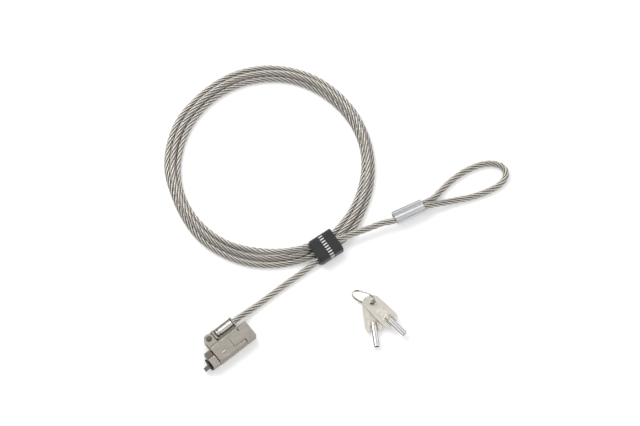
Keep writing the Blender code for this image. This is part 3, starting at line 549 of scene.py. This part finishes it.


# each finish's last colour is a painted highlight, lighter, for bevels and raised lines
finishes = {
    "castNickel": {
        "low": (0.30, 0.277, 0.24), "high": (0.38, 0.353, 0.31), "paintedHighlight": (0.56, 0.53, 0.475),
        "rough": (0.34, 0.50), "grain": 3600, "depth": 0.02 * mm,
    },
    # a darker copy of castNickel: painted shade for parts that sit low or tucked in
    "shadedNickel": {
        "low": (0.12, 0.11, 0.095), "high": (0.19, 0.175, 0.155), "paintedHighlight": (0.34, 0.32, 0.29),
        "rough": (0.34, 0.50), "grain": 3600, "depth": 0.015 * mm,
    },
    "keyNickel": {
        "low": (0.66, 0.63, 0.56), "high": (0.76, 0.73, 0.66), "paintedHighlight": (0.84, 0.82, 0.76),
        "rough": (0.30, 0.42), "grain": 2600, "depth": 0.012 * mm,
    },
    "brightSteel": {
        "low": (0.50, 0.485, 0.455), "high": (0.62, 0.605, 0.575), "paintedHighlight": (0.75, 0.74, 0.71),
        "rough": (0.30, 0.42), "grain": 5200, "depth": 0.004 * mm,
    },
    "chrome": {
        "low": (0.80, 0.80, 0.79), "high": (0.90, 0.90, 0.89), "paintedHighlight": (0.92, 0.92, 0.92),
        "rough": (0.05, 0.10), "grain": 4000, "depth": 0.002 * mm,
    },
    "ringWire": {
        "low": (0.40, 0.375, 0.33), "high": (0.52, 0.49, 0.44), "paintedHighlight": (0.6, 0.58, 0.54),
        "rough": (0.16, 0.26), "grain": 5200, "depth": 0.004 * mm,
    },
    "springWire": {
        "low": (0.42, 0.41, 0.39), "high": (0.58, 0.57, 0.55), "paintedHighlight": (0.60, 0.60, 0.58),
        "rough": (0.22, 0.34), "grain": 6000, "depth": 0.004 * mm,
    },
    "pinBrass": {
        "low": (0.52, 0.38, 0.15), "high": (0.70, 0.54, 0.25), "paintedHighlight": (0.80, 0.66, 0.36),
        "rough": (0.20, 0.32), "grain": 6000, "depth": 0.004 * mm,
    },
}


def metal(name):
    finish = finishes[name]
    material, tree, shader = newMaterial(name)
    coords = tree.nodes.new("ShaderNodeTexCoord").outputs["Object"]
    patches = noise(tree, coords, 260, detail=4)
    grain = noise(tree, coords, finish["grain"], detail=2)
    colour = ramp(tree, patches, ((0.3, finish["low"]), (0.72, finish["high"])))
    # bevels and raised lines take the lighter colour: painted highlight
    paintedHighlight = tree.nodes.new("ShaderNodeAttribute")
    paintedHighlight.attribute_name = "paintedHighlight"
    mix = tree.nodes.new("ShaderNodeMix")
    mix.data_type = "RGBA"
    link(tree, paintedHighlight.outputs["Fac"], mix.inputs["Factor"])
    link(tree, colour, mix.inputs["A"])
    mix.inputs["B"].default_value = (*finish["paintedHighlight"], 1.0)
    link(tree, mix.outputs["Result"], shader.inputs["Base Color"])
    shader.inputs["Metallic"].default_value = 1.0
    link(tree, spread(tree, grain, *finish["rough"]), shader.inputs["Roughness"])
    bump(tree, shader, grain, finish["depth"], 0.7)
    return material


def addPiece(name, shape, material, body, slotName, *cadNodes, thickness=0.0):
    mesh = bpy.data.meshes.new(name)
    shape.to_mesh(mesh)
    shape.free()
    mesh.shade_smooth()
    mesh.set_sharp_from_angle(angle=math.radians(meshing["smoothAngle"]))
    mesh.materials.append(material)
    piece = bpy.data.objects.new(name, mesh)
    bpy.context.scene.collection.objects.link(piece)
    if thickness:
        wall = piece.modifiers.new("wall", "SOLIDIFY")
        wall.thickness = thickness
        rim = piece.modifiers.new("rim", "BEVEL")
        rim.width = 0.3 * thickness
        rim.segments = 2
        rim.limit_method = "ANGLE"
        rim.angle_limit = math.radians(60)
    piece.modifiers.new("flatFaces", "WEIGHTED_NORMAL").keep_sharp = True
    graph = bpy.context.evaluated_depsgraph_get()
    piece.data = bpy.data.meshes.new_from_object(piece.evaluated_get(graph))
    piece.modifiers.clear()
    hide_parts(*cadNodes)
    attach(piece, body)
    return piece


def bevelledShape(node, width):
    shape = bmesh.new()
    shape.from_mesh(nodes[node].data)
    # bevel faces are marked for the painted highlight
    paintedHighlight = shape.faces.layers.float.new("paintedHighlight")
    bmesh.ops.remove_doubles(shape, verts=shape.verts, dist=meshing["weld"])
    bmesh.ops.dissolve_limit(
        shape, angle_limit=math.radians(meshing["flatAngle"]), verts=shape.verts,
        edges=shape.edges,
    )
    limit = math.radians(meshing["bevelAngle"])
    sharp = [edge for edge in shape.edges if edge.calc_face_angle(0) > limit]
    made = bmesh.ops.bevel(
        shape, geom=sharp, offset=width, offset_type="OFFSET", segments=2, profile=0.5,
        affect="EDGES", clamp_overlap=True, material=-1,
    )
    for face in made["faces"]:
        face[paintedHighlight] = 1.0
    return shape


def spun(profile, place):
    shape = bmesh.new()
    points = [shape.verts.new((along * mm, radius * mm, 0)) for along, radius in profile]
    for pair in zip(points, points[1:]):
        shape.edges.new(pair)
    bmesh.ops.spin(
        shape, geom=shape.verts[:] + shape.edges[:], cent=(0, 0, 0), axis=(1, 0, 0),
        angle=2 * math.pi, steps=meshing["spinSides"], use_merge=True,
    )
    bmesh.ops.remove_doubles(shape, verts=shape.verts, dist=0.001 * mm)
    bmesh.ops.transform(shape, matrix=place, verts=shape.verts)
    bmesh.ops.recalc_face_normals(shape, faces=shape.faces)
    return shape


def addWire(shape, points, radius, closed=False, ends=1.0):
    curve = bpy.data.curves.new("wirePath", "CURVE")
    curve.dimensions = "3D"
    curve.bevel_depth = radius
    curve.bevel_resolution = 4
    curve.use_fill_caps = not closed
    spline = curve.splines.new("POLY")
    spline.points.add(len(points) - 1)
    for spot, point in zip(spline.points, points):
        spot.co = (*point, 1)
    spline.use_cyclic_u = closed
    for spot in (spline.points[0], spline.points[-1]):
        spot.radius = ends
    helper = bpy.data.objects.new("wirePath", curve)
    mesh = bpy.data.meshes.new_from_object(helper)
    shape.from_mesh(mesh)
    bpy.data.meshes.remove(mesh)
    bpy.data.curves.remove(curve)


def addDome(shape, centre, reachX, reachY, height):
    grow = Matrix.Translation(centre) @ Matrix.Diagonal((reachX, reachY, height, 1))
    bmesh.ops.create_uvsphere(shape, u_segments=40, v_segments=16, radius=1, matrix=grow)


head = {
    "bevel": 0.14 * mm,
    "panelEnds": (-11.7 * mm, 1.7 * mm),
    "panelSides": (-5.9 * mm, 5.9 * mm),
    "panelCorner": 1.9 * mm,
    "panelHeight": 10.6 * mm,
    "lineRadius": 0.17 * mm,
    # share of the painted highlight on the raised panel line
    "linePaintedHighlight": 0.8,
    "emblem": (-5.6 * mm, -2.4 * mm, 10.2 * mm),
    "emblemReach": (2.75 * mm, 1.3 * mm),
    "emblemHeight": 0.3 * mm,
}

headCopies = (
    ("housing_shell", "headShell", "castNickel", "housing", head["bevel"]),
    ("push_button", "pushButton", "castNickel", "push_button", head["bevel"]),
    ("nose_block", "noseBlock", "castNickel", "housing", head["bevel"]),
    # stop block, hook tip and blade take the darker nickel: painted shade
    ("stop_block", "stopBlock", "shadedNickel", "housing", head["bevel"]),
    ("hook_tip", "hookTip", "shadedNickel", "housing", 0.12 * mm),
    ("locking_blade", "lockingBlade", "shadedNickel", "push_button", 0.12 * mm),
    ("swivel_arm", "swivelArm", "castNickel", "swivel_arm", head["bevel"]),
    ("cylinder_shell", "cylinderShell", "brightSteel", "push_button", 0.1 * mm),
    ("key_plug", "keyPlug", "brightSteel", "key_plug", 0.08 * mm),
)

plainNodes = (
    ("brightSteel", "cover_screw_1", "cover_screw_2", "hook_pin", "blade_pin"),
    # these pins and the cam take the same painted-shade nickel
    ("shadedNickel", "latch_pin", "plug_cam"),
    ("springWire", "return_spring_1", "return_spring_2", "latch_spring", "retaining_clip"),
    ("springWire", *[f"pin_spring_{number}" for number in range(1, 8)]),
    ("pinBrass", *[f"tumbler_pin_{number}" for number in range(1, 8)]),
)


def roundedRectangle(lowX, highX, lowY, highY, corner, steps=6):
    points = []
    for centreX, centreY, start in (
        (highX - corner, highY - corner, 0), (lowX + corner, highY - corner, 90),
        (lowX + corner, lowY + corner, 180), (highX - corner, lowY + corner, 270),
    ):
        for step in range(steps + 1):
            angle = math.radians(start + 90 * step / steps)
            points.append((centreX + corner * math.cos(angle), centreY + corner * math.sin(angle)))
    return points


def buildHead(metals):
    for node, name, finish, body, width in headCopies:
        shape = bevelledShape(node, width)
        addPiece(name, shape, metals[finish], body, nodes[node].data.materials[0].name, node)
    shape = bevelledShape("top_cover", head["bevel"])
    paintedHighlight = shape.faces.layers.float["paintedHighlight"]
    known = set(shape.faces)
    line = roundedRectangle(*head["panelEnds"], *head["panelSides"], head["panelCorner"])
    path = [Vector((x, y, head["panelHeight"])) for x, y in line]
    addWire(shape, path, head["lineRadius"], closed=True)
    # the panel line takes the painted highlight
    for face in set(shape.faces) - known:
        face[paintedHighlight] = head["linePaintedHighlight"]
    addDome(shape, Vector(head["emblem"]), *head["emblemReach"], head["emblemHeight"])
    addPiece("topCover", shape, metals["castNickel"], "housing", "cast_nickel", "top_cover")
    for finish, *names in plainNodes:
        for name in names:
            nodes[name].material_slots[0].material = metals[finish]
    print("lock head ready")


pad = {
    "bevel": 0.3 * mm,
    "colour": (0.008, 0.008, 0.008),
    "dust": 2.2,                   # times lighter, where it is dusty
    "rough": (0.55, 0.75),
    "shine": 0.25,
    "grainDepth": 0.02 * mm,
}


def mattRubber():
    material, tree, shader = newMaterial("mattRubber")
    coords = tree.nodes.new("ShaderNodeTexCoord").outputs["Object"]
    grain = noise(tree, coords, 5200, detail=2)
    dust = noise(tree, coords, 420, detail=3)
    link(tree, ramp(tree, dust, (
        (0.35, pad["colour"]), (0.8, lightened(pad["colour"], pad["dust"])),
    )), shader.inputs["Base Color"])
    link(tree, spread(tree, grain, *pad["rough"]), shader.inputs["Roughness"])
    shader.inputs["Specular IOR Level"].default_value = pad["shine"]
    bump(tree, shader, grain, pad["grainDepth"], 0.8)
    return material


def buildPad():
    shape = bevelledShape("rubber_pad", pad["bevel"])
    addPiece("rubberPad", shape, mattRubber(), "housing", "rubber", "rubber_pad")
    print("rubber pad ready")


swivel = {
    "axis": (13.2 * mm, 5.3 * mm),
    "pinPlace": (-8.7 * mm, 13.2 * mm, 0.6 * mm),
    # place along the pin and radius
    "pinProfile": (
        (0, 0.0), (0, 1.7), (0.25, 2.1), (0.45, 2.2), (0.7, 2.2), (0.7, 1.4), (9.1, 1.4),
        (9.1, 2.2), (9.35, 2.2), (9.6, 2.1), (9.8, 1.75), (9.8, 1.6), (9.55, 1.5), (9.55, 0.0),
    ),
    "driveSide": 1.05 * mm,
    "driveHeights": (9.5 * mm, 9.85 * mm),
    # place along the head's X and radius
    "ferruleProfile": (
        (-2.3, 0.0), (-2.24, 0.9), (-2.05, 1.75), (-1.7, 2.4), (-1.2, 2.85), (-0.7, 3.05),
        (-0.3, 3.1), (-0.05, 3.1), (0.1, 3.0), (0.3, 2.55), (0.4, 2.5), (1.05, 2.5), (1.2, 2.6),
        (1.35, 2.95), (1.5, 3.0), (12.9, 3.0), (13.25, 2.95), (13.5, 2.8), (13.6, 2.6),
        (13.6, 0.0),
    ),
}


def buildSwivel(metals):
    y, z = swivel["axis"]
    shape = spun(swivel["ferruleProfile"], Matrix.Translation((0, y, z)))
    addPiece("ferrule", shape, metals["brightSteel"], "cable", "bright_steel", "swivel_ferrule")

    place = Matrix.Translation(swivel["pinPlace"])
    shape = spun(swivel["pinProfile"], place @ Matrix.Rotation(-math.pi / 2, 4, "Y"))
    side = swivel["driveSide"]
    low, high = swivel["driveHeights"]
    grow = Matrix.Diagonal((2 * side, 2 * side, high - low, 1))
    lift = Matrix.Translation((0, 0, (low + high) / 2))
    drive = bmesh.ops.create_cube(shape, size=1, matrix=place @ lift @ grow)
    edges = {edge for vert in drive["verts"] for edge in vert.link_edges}
    bmesh.ops.bevel(
        shape, geom=list(edges), offset=side / 6, segments=2, profile=0.5, affect="EDGES",
        material=-1,
    )
    # the pivot pin takes the painted-shade nickel
    addPiece("pivotPin", shape, metals["shadedNickel"], "housing", "dark_nickel", "pivot_pin")
    print("swivel ready")


keys = {
    "places": {
        "key_a": ("keyA", (107.166 * mm, -41.024 * mm, 3.1 * mm), -120.2),
        "key_b": ("keyB", (108.642 * mm, -42.47 * mm, 5.6 * mm), -84.2),
    },
    "bowBevel": 0.12 * mm,
    "faceHeight": 0.8 * mm,
    "ribs": (8.0 * mm, 9.6 * mm, 11.2 * mm),
    "ribReach": 2.2 * mm,
    "ribRadius": 0.34 * mm,
    "ovalCentre": 9.6 * mm,
    "ovalReach": (3.1 * mm, 3.9 * mm),
    "ovalLine": 0.24 * mm,
    "archRadius": 3.5 * mm,
    "archStart": 13.9 * mm,
    "archEnd": 17.6 * mm,
    "archLine": 0.4 * mm,
    "archDepth": 0.62,             # of its radius
    # share of the painted highlight on the raised lines
    "linePaintedHighlight": 0.4,
    # place along the key and radius
    "barrelProfile": (
        (17.8, 0.0), (17.8, 2.8), (18.0, 3.0), (34.1, 3.0), (34.4, 2.92), (34.55, 2.75), (34.6, 2.55),
        (34.55, 2.25), (34.3, 2.05), (25.6, 2.05), (25.6, 0.0),
    ),
}


def keyArch(side):
    reach, start, end = keys["archRadius"], keys["archStart"], keys["archEnd"]
    height = side * keys["faceHeight"]
    path = [Vector((end, -reach, height))]
    for step in range(13):
        angle = math.radians(-90 - 180 * step / 12)
        along = start + keys["archDepth"] * reach * (1 + math.cos(angle))
        path.append(Vector((along, reach * math.sin(angle), height)))
    path.append(Vector((end, reach, height)))
    return path


def buildKeys(metals):
    for body, (name, place, direction) in keys["places"].items():
        turn = Matrix.Translation(place) @ Matrix.Rotation(math.radians(direction), 4, "Z")
        shape = bevelledShape(f"{body}_bow", keys["bowBevel"])
        paintedHighlight = shape.faces.layers.float["paintedHighlight"]
        known = set(shape.faces)
        for side in (-1, 1):
            height = side * keys["faceHeight"]
            for along in keys["ribs"]:
                path = [
                    turn @ Vector((along, keys["ribReach"] * share, height))
                    for share in (-1, -0.9, 0.9, 1)
                ]
                addWire(shape, path, keys["ribRadius"], ends=0.3)
            oval = [
                turn @ Vector((
                    keys["ovalCentre"] + keys["ovalReach"][0] * math.cos(math.radians(10 * step)),
                    keys["ovalReach"][1] * math.sin(math.radians(10 * step)), height,
                ))
                for step in range(36)
            ]
            addWire(shape, oval, keys["ovalLine"], closed=True)
            addWire(shape, [turn @ point for point in keyArch(side)], keys["archLine"])
        # the raised lines take the painted highlight
        for face in set(shape.faces) - known:
            face[paintedHighlight] = keys["linePaintedHighlight"]
        addPiece(f"{name}Bow", shape, metals["keyNickel"], body, "key_nickel", f"{body}_bow")
        shape = spun(keys["barrelProfile"], turn)
        addPiece(f"{name}Barrel", shape, metals["chrome"], body, "chrome", f"{body}_barrel")
    print("keys ready")


ring = {
    "centre": (105.0114 * mm, -35.0754 * mm, 9.9163 * mm),
    "direction": -58.0,
    "lean": 11.0,
    "radius": 9.3 * mm,
    "wire": 0.4 * mm,
    "spread": 0.38 * mm,
    "start": 100.0,
    "turns": 1.9,
    "crossStart": 0.9,             # turns, where the wire steps aside
    "crossSpread": 0.1,
    "stepsPerTurn": 96,
}


def buildRing(metals):
    forward = Matrix.Rotation(math.radians(ring["direction"]), 3, "Z") @ Vector((1, 0, 0))
    side = Vector((-forward.y, forward.x, 0))
    lean = math.radians(ring["lean"])
    rise = side * math.sin(lean) + Vector((0, 0, math.cos(lean)))
    axis = forward.cross(rise)
    path = []
    steps = round(ring["turns"] * ring["stepsPerTurn"])
    for step in range(steps + 1):
        turned = ring["turns"] * step / steps
        angle = math.radians(ring["start"] + 360 * turned)
        crossed = smoothStep((turned - ring["crossStart"]) / ring["crossSpread"])
        offset = ring["spread"] * (2 * crossed - 1)
        path.append(
            Vector(ring["centre"])
            + ring["radius"] * (forward * math.cos(angle) + rise * math.sin(angle))
            + axis * offset
        )
    shape = bmesh.new()
    addWire(shape, path, ring["wire"], ends=0.5)
    addPiece("splitRing", shape, metals["ringWire"], "key_ring", "bright_steel", "key_ring")
    print("split ring ready")


def sleeveLoop(shape, along, radius, waist):
    half = sleeve["strandSpacing"] / 2
    earlier = len(shape.verts)
    made = bmesh.ops.create_circle(shape, segments=48, radius=radius)["verts"]
    bmesh.ops.rotate(
        shape, verts=made, cent=(0, 0, 0), matrix=Matrix.Rotation(math.radians(3.75), 3, "Z")
    )
    for vert in made:
        vert.co.x += math.copysign(half, vert.co.x)
        vert.co.z = along
    edges = {edge for vert in made for edge in vert.link_edges}
    flats = [edge for edge in edges if edge.calc_length() > half]
    bmesh.ops.subdivide_edges(shape, edges=flats, cuts=7)
    made = shape.verts[:][earlier:]
    for vert in made:
        press = math.cos(math.pi * min(half, abs(vert.co.x)) / (2 * half))
        vert.co.y -= math.copysign(waist * press, vert.co.y)
    return list({edge for vert in made for edge in vert.link_edges})


def pressedAluminium():
    material, tree, shader = newMaterial("pressedAluminium")
    coords = tree.nodes.new("ShaderNodeTexCoord").outputs["Object"]
    turn = tree.nodes.new("ShaderNodeMapping")
    turn.inputs["Rotation"].default_value = (0, 0, -math.radians(sleeve["angle"]))
    link(tree, coords, turn.inputs["Vector"])
    drawn = noise(tree, turn.outputs["Vector"], 1800, detail=3, stretch=(0.05, 1, 1))
    marks = noise(tree, coords, 300, detail=4)
    link(tree, ramp(tree, drawn, (
        (0.3, sleeve["colour"]), (0.75, lightened(sleeve["colour"], sleeve["lighter"])),
    )), shader.inputs["Base Color"])
    shader.inputs["Metallic"].default_value = 1.0
    link(tree, spread(tree, marks, *sleeve["rough"]), shader.inputs["Roughness"])
    bump(tree, shader, drawn, sleeve["grainDepth"], 0.5)
    return material


def buildSleeve():
    roll = math.radians(sleeve["roll"])
    half = sleeve["strandSpacing"] / 2
    end, outer, lip = sleeve["length"] / 2, sleeve["radius"], sleeve["lip"]
    bore, waist, flare = sleeve["bore"], sleeve["waist"], sleeve["flare"]
    shape = bmesh.new()
    loops = [
        sleeveLoop(shape, along, radius, press)
        for along, radius, press in (
            (-end, bore + flare, 0), (-end, outer - lip, 0.8 * waist),
            (-end + 0.3 * lip, outer - 0.3 * lip, waist), (-end + lip, outer, waist),
            (end - lip, outer, waist), (end - 0.3 * lip, outer - 0.3 * lip, waist),
            (end, outer - lip, 0.8 * waist), (end, bore + flare, 0),
            (end - lip, bore, 0), (-end + lip, bore, 0),
        )
    ]
    for first, second in zip(loops, loops[1:] + loops[:1]):
        bmesh.ops.bridge_loops(shape, edges=first + second)
    bmesh.ops.recalc_face_normals(shape, faces=shape.faces)
    # The section's X is the line through both strands, and its Z the sleeve's length.
    height = outer + sleeve["lift"] + half * math.sin(roll)
    section = Matrix((
        (0, 0, 1, 0), (-math.cos(roll), math.sin(roll), 0, 0),
        (math.sin(roll), math.cos(roll), 0, height), (0, 0, 0, 1),
    ))
    turn = Matrix.Rotation(math.radians(sleeve["angle"]), 4, "Z")
    place = Matrix.Translation((*sleeve["centre"], 0)) @ turn @ section
    bmesh.ops.transform(shape, matrix=place, verts=shape.verts)
    bmesh.ops.recalc_face_normals(shape, faces=shape.faces)
    piece = addPiece("eyeSleeve", shape, pressedAluminium(), "cable", "sleeve", "eye_sleeve")
    print("sleeve ready")
    return piece


strap = {
    "centre": (107.6 * mm, 15.6 * mm),
    "angle": -4.5,
    "span": 18.6 * mm,
    "height": 11.6 * mm,
    "corner": 3.6 * mm,
    "bandEnds": (-10.6 * mm, 9.6 * mm),
    "bandThickness": 0.85 * mm,
    "flapEnds": (-8.9 * mm, 10.5 * mm),
    "flapThickness": 0.75 * mm,
    "flapShare": (0.13, 0.68),     # of the way round the band
    "stepsAcross": 10,
    "puff": 0.3 * mm,
    "lift": 0.05 * mm,             # of the band over the table
    "gap": 0.02 * mm,              # between the band and the flap
    "printReach": 1.7 * mm,
    "printCentre": 0.4 * mm,
    "printEnds": (13.0 * mm, 38.0 * mm),
    "barSpacing": 2.3 * mm,
    "barShare": 0.42,
    "printColour": (0.80, 0.80, 0.79),
    "colour": (0.015, 0.016, 0.018),
    "lighter": 1.9,
    "roughness": 0.82,
    "sheen": 0.25,
    "sheenRoughness": 0.5,
    "weave": 0.55 * mm,
    "weaveDepth": 0.035 * mm,
}


def strapSheet(ends, proud, fromShare, toShare):
    shape = bmesh.new()
    uv = shape.loops.layers.uv.new("strapUV")
    width, height = strap["span"] + 2 * proud, strap["height"] + 2 * proud
    grow = Matrix.Rotation(math.pi / 2, 4, "Y") @ Matrix.Diagonal((height, width, 1, 1))
    bmesh.ops.create_grid(shape, x_segments=1, y_segments=1, size=0.5, matrix=grow)
    bmesh.ops.bevel(
        shape, geom=shape.verts[:], offset=strap["corner"], segments=8, profile=0.5,
        affect="VERTICES", material=-1,
    )
    bmesh.ops.delete(shape, geom=shape.faces[:], context="FACES_ONLY")
    flats = [edge for edge in shape.edges if edge.calc_length() > 2 * mm]
    bmesh.ops.subdivide_edges(shape, edges=flats, cuts=14)

    def around(point):
        return (math.degrees(math.atan2(point.y, point.z)) + 180) % 360

    def spot(vert):
        return round(vert.co.y / mm, 3), round(vert.co.z / mm, 3)

    # From the middle of the underside, round by the near side, over the top and back.
    ordered = sorted(shape.verts, key=lambda vert: around(vert.co))
    whole, lengths = 0.0, {}
    for index, vert in enumerate(ordered):
        if index:
            whole += (vert.co - ordered[index - 1].co).length
        lengths[vert] = whole
    gone = [
        vert for vert in ordered
        if not fromShare * whole <= lengths[vert] <= toShare * whole
    ]
    reached = {spot(vert): length for vert, length in lengths.items()}
    bmesh.ops.delete(shape, geom=gone, context="VERTS")
    low, high = ends
    for vert in shape.verts:
        vert.co.x = low
    edges = shape.edges[:]
    steps = strap["stepsAcross"]
    for step in range(steps):
        made = bmesh.ops.extrude_edge_only(shape, edges=edges)["geom"]
        verts = [item for item in made if isinstance(item, bmesh.types.BMVert)]
        edges = [item for item in made if isinstance(item, bmesh.types.BMEdge)]
        bmesh.ops.translate(shape, vec=((high - low) / steps, 0, 0), verts=verts)
    for face in shape.faces:
        fars = [reached[spot(loop.vert)] for loop in face.loops]
        for loop, far in zip(face.loops, fars):
            wraps = max(fars) - far > whole / 2
            loop[uv].uv = (loop.vert.co.x / mm, (far + whole * wraps) / mm)
    bmesh.ops.recalc_face_normals(shape, faces=shape.faces)
    for vert in shape.verts:
        crown = math.cos(0.9 * math.pi * vert.co.x / (high - low))
        vert.co.z += strap["puff"] * crown * max(0.0, vert.co.z / (height / 2))
    lift = Matrix.Translation((*strap["centre"], strap["height"] / 2 + strap["lift"]))
    turn = Matrix.Rotation(math.radians(strap["angle"]), 4, "Z")
    bmesh.ops.transform(shape, matrix=lift @ turn, verts=shape.verts)
    return shape


def strapFabric(name, printed):
    material, tree, shader = newMaterial(name)
    uv = tree.nodes.new("ShaderNodeUVMap")
    uv.uv_map = "strapUV"
    split = tree.nodes.new("ShaderNodeSeparateXYZ")
    link(tree, uv.outputs["UV"], split.inputs["Vector"])
    across, along = split.outputs["X"], split.outputs["Y"]
    threads = 2 * math.pi * mm / strap["weave"]
    weave = mathNode(
        tree, "MULTIPLY",
        mathNode(tree, "SINE", mathNode(tree, "MULTIPLY", across, threads), 0),
        mathNode(tree, "SINE", mathNode(tree, "MULTIPLY", along, threads), 0),
    )
    fuzz = noise(tree, uv.outputs["UV"], 2.6, detail=4)
    height = mathNode(tree, "ADD", weave, mathNode(tree, "MULTIPLY", fuzz, 2.5))
    base = ramp(tree, fuzz, (
        (0.3, strap["colour"]), (0.75, lightened(strap["colour"], strap["lighter"])),
    ))
    shader.inputs["Roughness"].default_value = strap["roughness"]
    shader.inputs["Sheen Weight"].default_value = strap["sheen"]
    shader.inputs["Sheen Roughness"].default_value = strap["sheenRoughness"]
    bump(tree, shader, height, strap["weaveDepth"], 0.8)
    if not printed:
        link(tree, base, shader.inputs["Base Color"])
        return material
    offset = mathNode(tree, "ABSOLUTE", mathNode(
        tree, "SUBTRACT", across, strap["printCentre"] / mm), 0)
    inRow = mathNode(tree, "LESS_THAN", offset, strap["printReach"] / mm)
    beat = mathNode(tree, "FRACT", mathNode(
        tree, "DIVIDE", along, strap["barSpacing"] / mm), 0)
    inBar = mathNode(tree, "LESS_THAN", beat, strap["barShare"])
    first, last = strap["printEnds"]
    ends = mathNode(
        tree, "MULTIPLY", mathNode(tree, "GREATER_THAN", along, first / mm),
        mathNode(tree, "LESS_THAN", along, last / mm),
    )
    mask = mathNode(tree, "MULTIPLY", mathNode(tree, "MULTIPLY", inRow, inBar), ends)
    faded = mathNode(tree, "MULTIPLY", mask, spread(tree, fuzz, 0.75, 1.0))
    mix = tree.nodes.new("ShaderNodeMix")
    mix.data_type = "RGBA"
    link(tree, faded, mix.inputs["Factor"])
    link(tree, base, mix.inputs["A"])
    mix.inputs["B"].default_value = (*strap["printColour"], 1.0)
    link(tree, mix.outputs["Result"], shader.inputs["Base Color"])
    return material


def buildStrap():
    layers = []
    for name, ends, proud, thickness, share, printed in (
        ("strapBand", strap["bandEnds"], 0.0, strap["bandThickness"], (0.0, 1.0), False),
        ("strapFlap", strap["flapEnds"], strap["flapThickness"] + strap["gap"],
         strap["flapThickness"], strap["flapShare"], True),
    ):
        layers.append(addPiece(
            name, strapSheet(ends, proud, *share), strapFabric(name + "Fabric", printed),
            "cable", "strap", "cable_strap", thickness=thickness,
        ))
    print("strap ready")
    return layers


buildStudio()
metals = {name: metal(name) for name in finishes}
buildHead(metals)
buildPad()
buildSwivel(metals)
buildKeys(metals)
buildRing(metals)
sleevePiece = buildSleeve()
strapBand, strapFlap = buildStrap()
ropePiece, ropePath = buildRope()
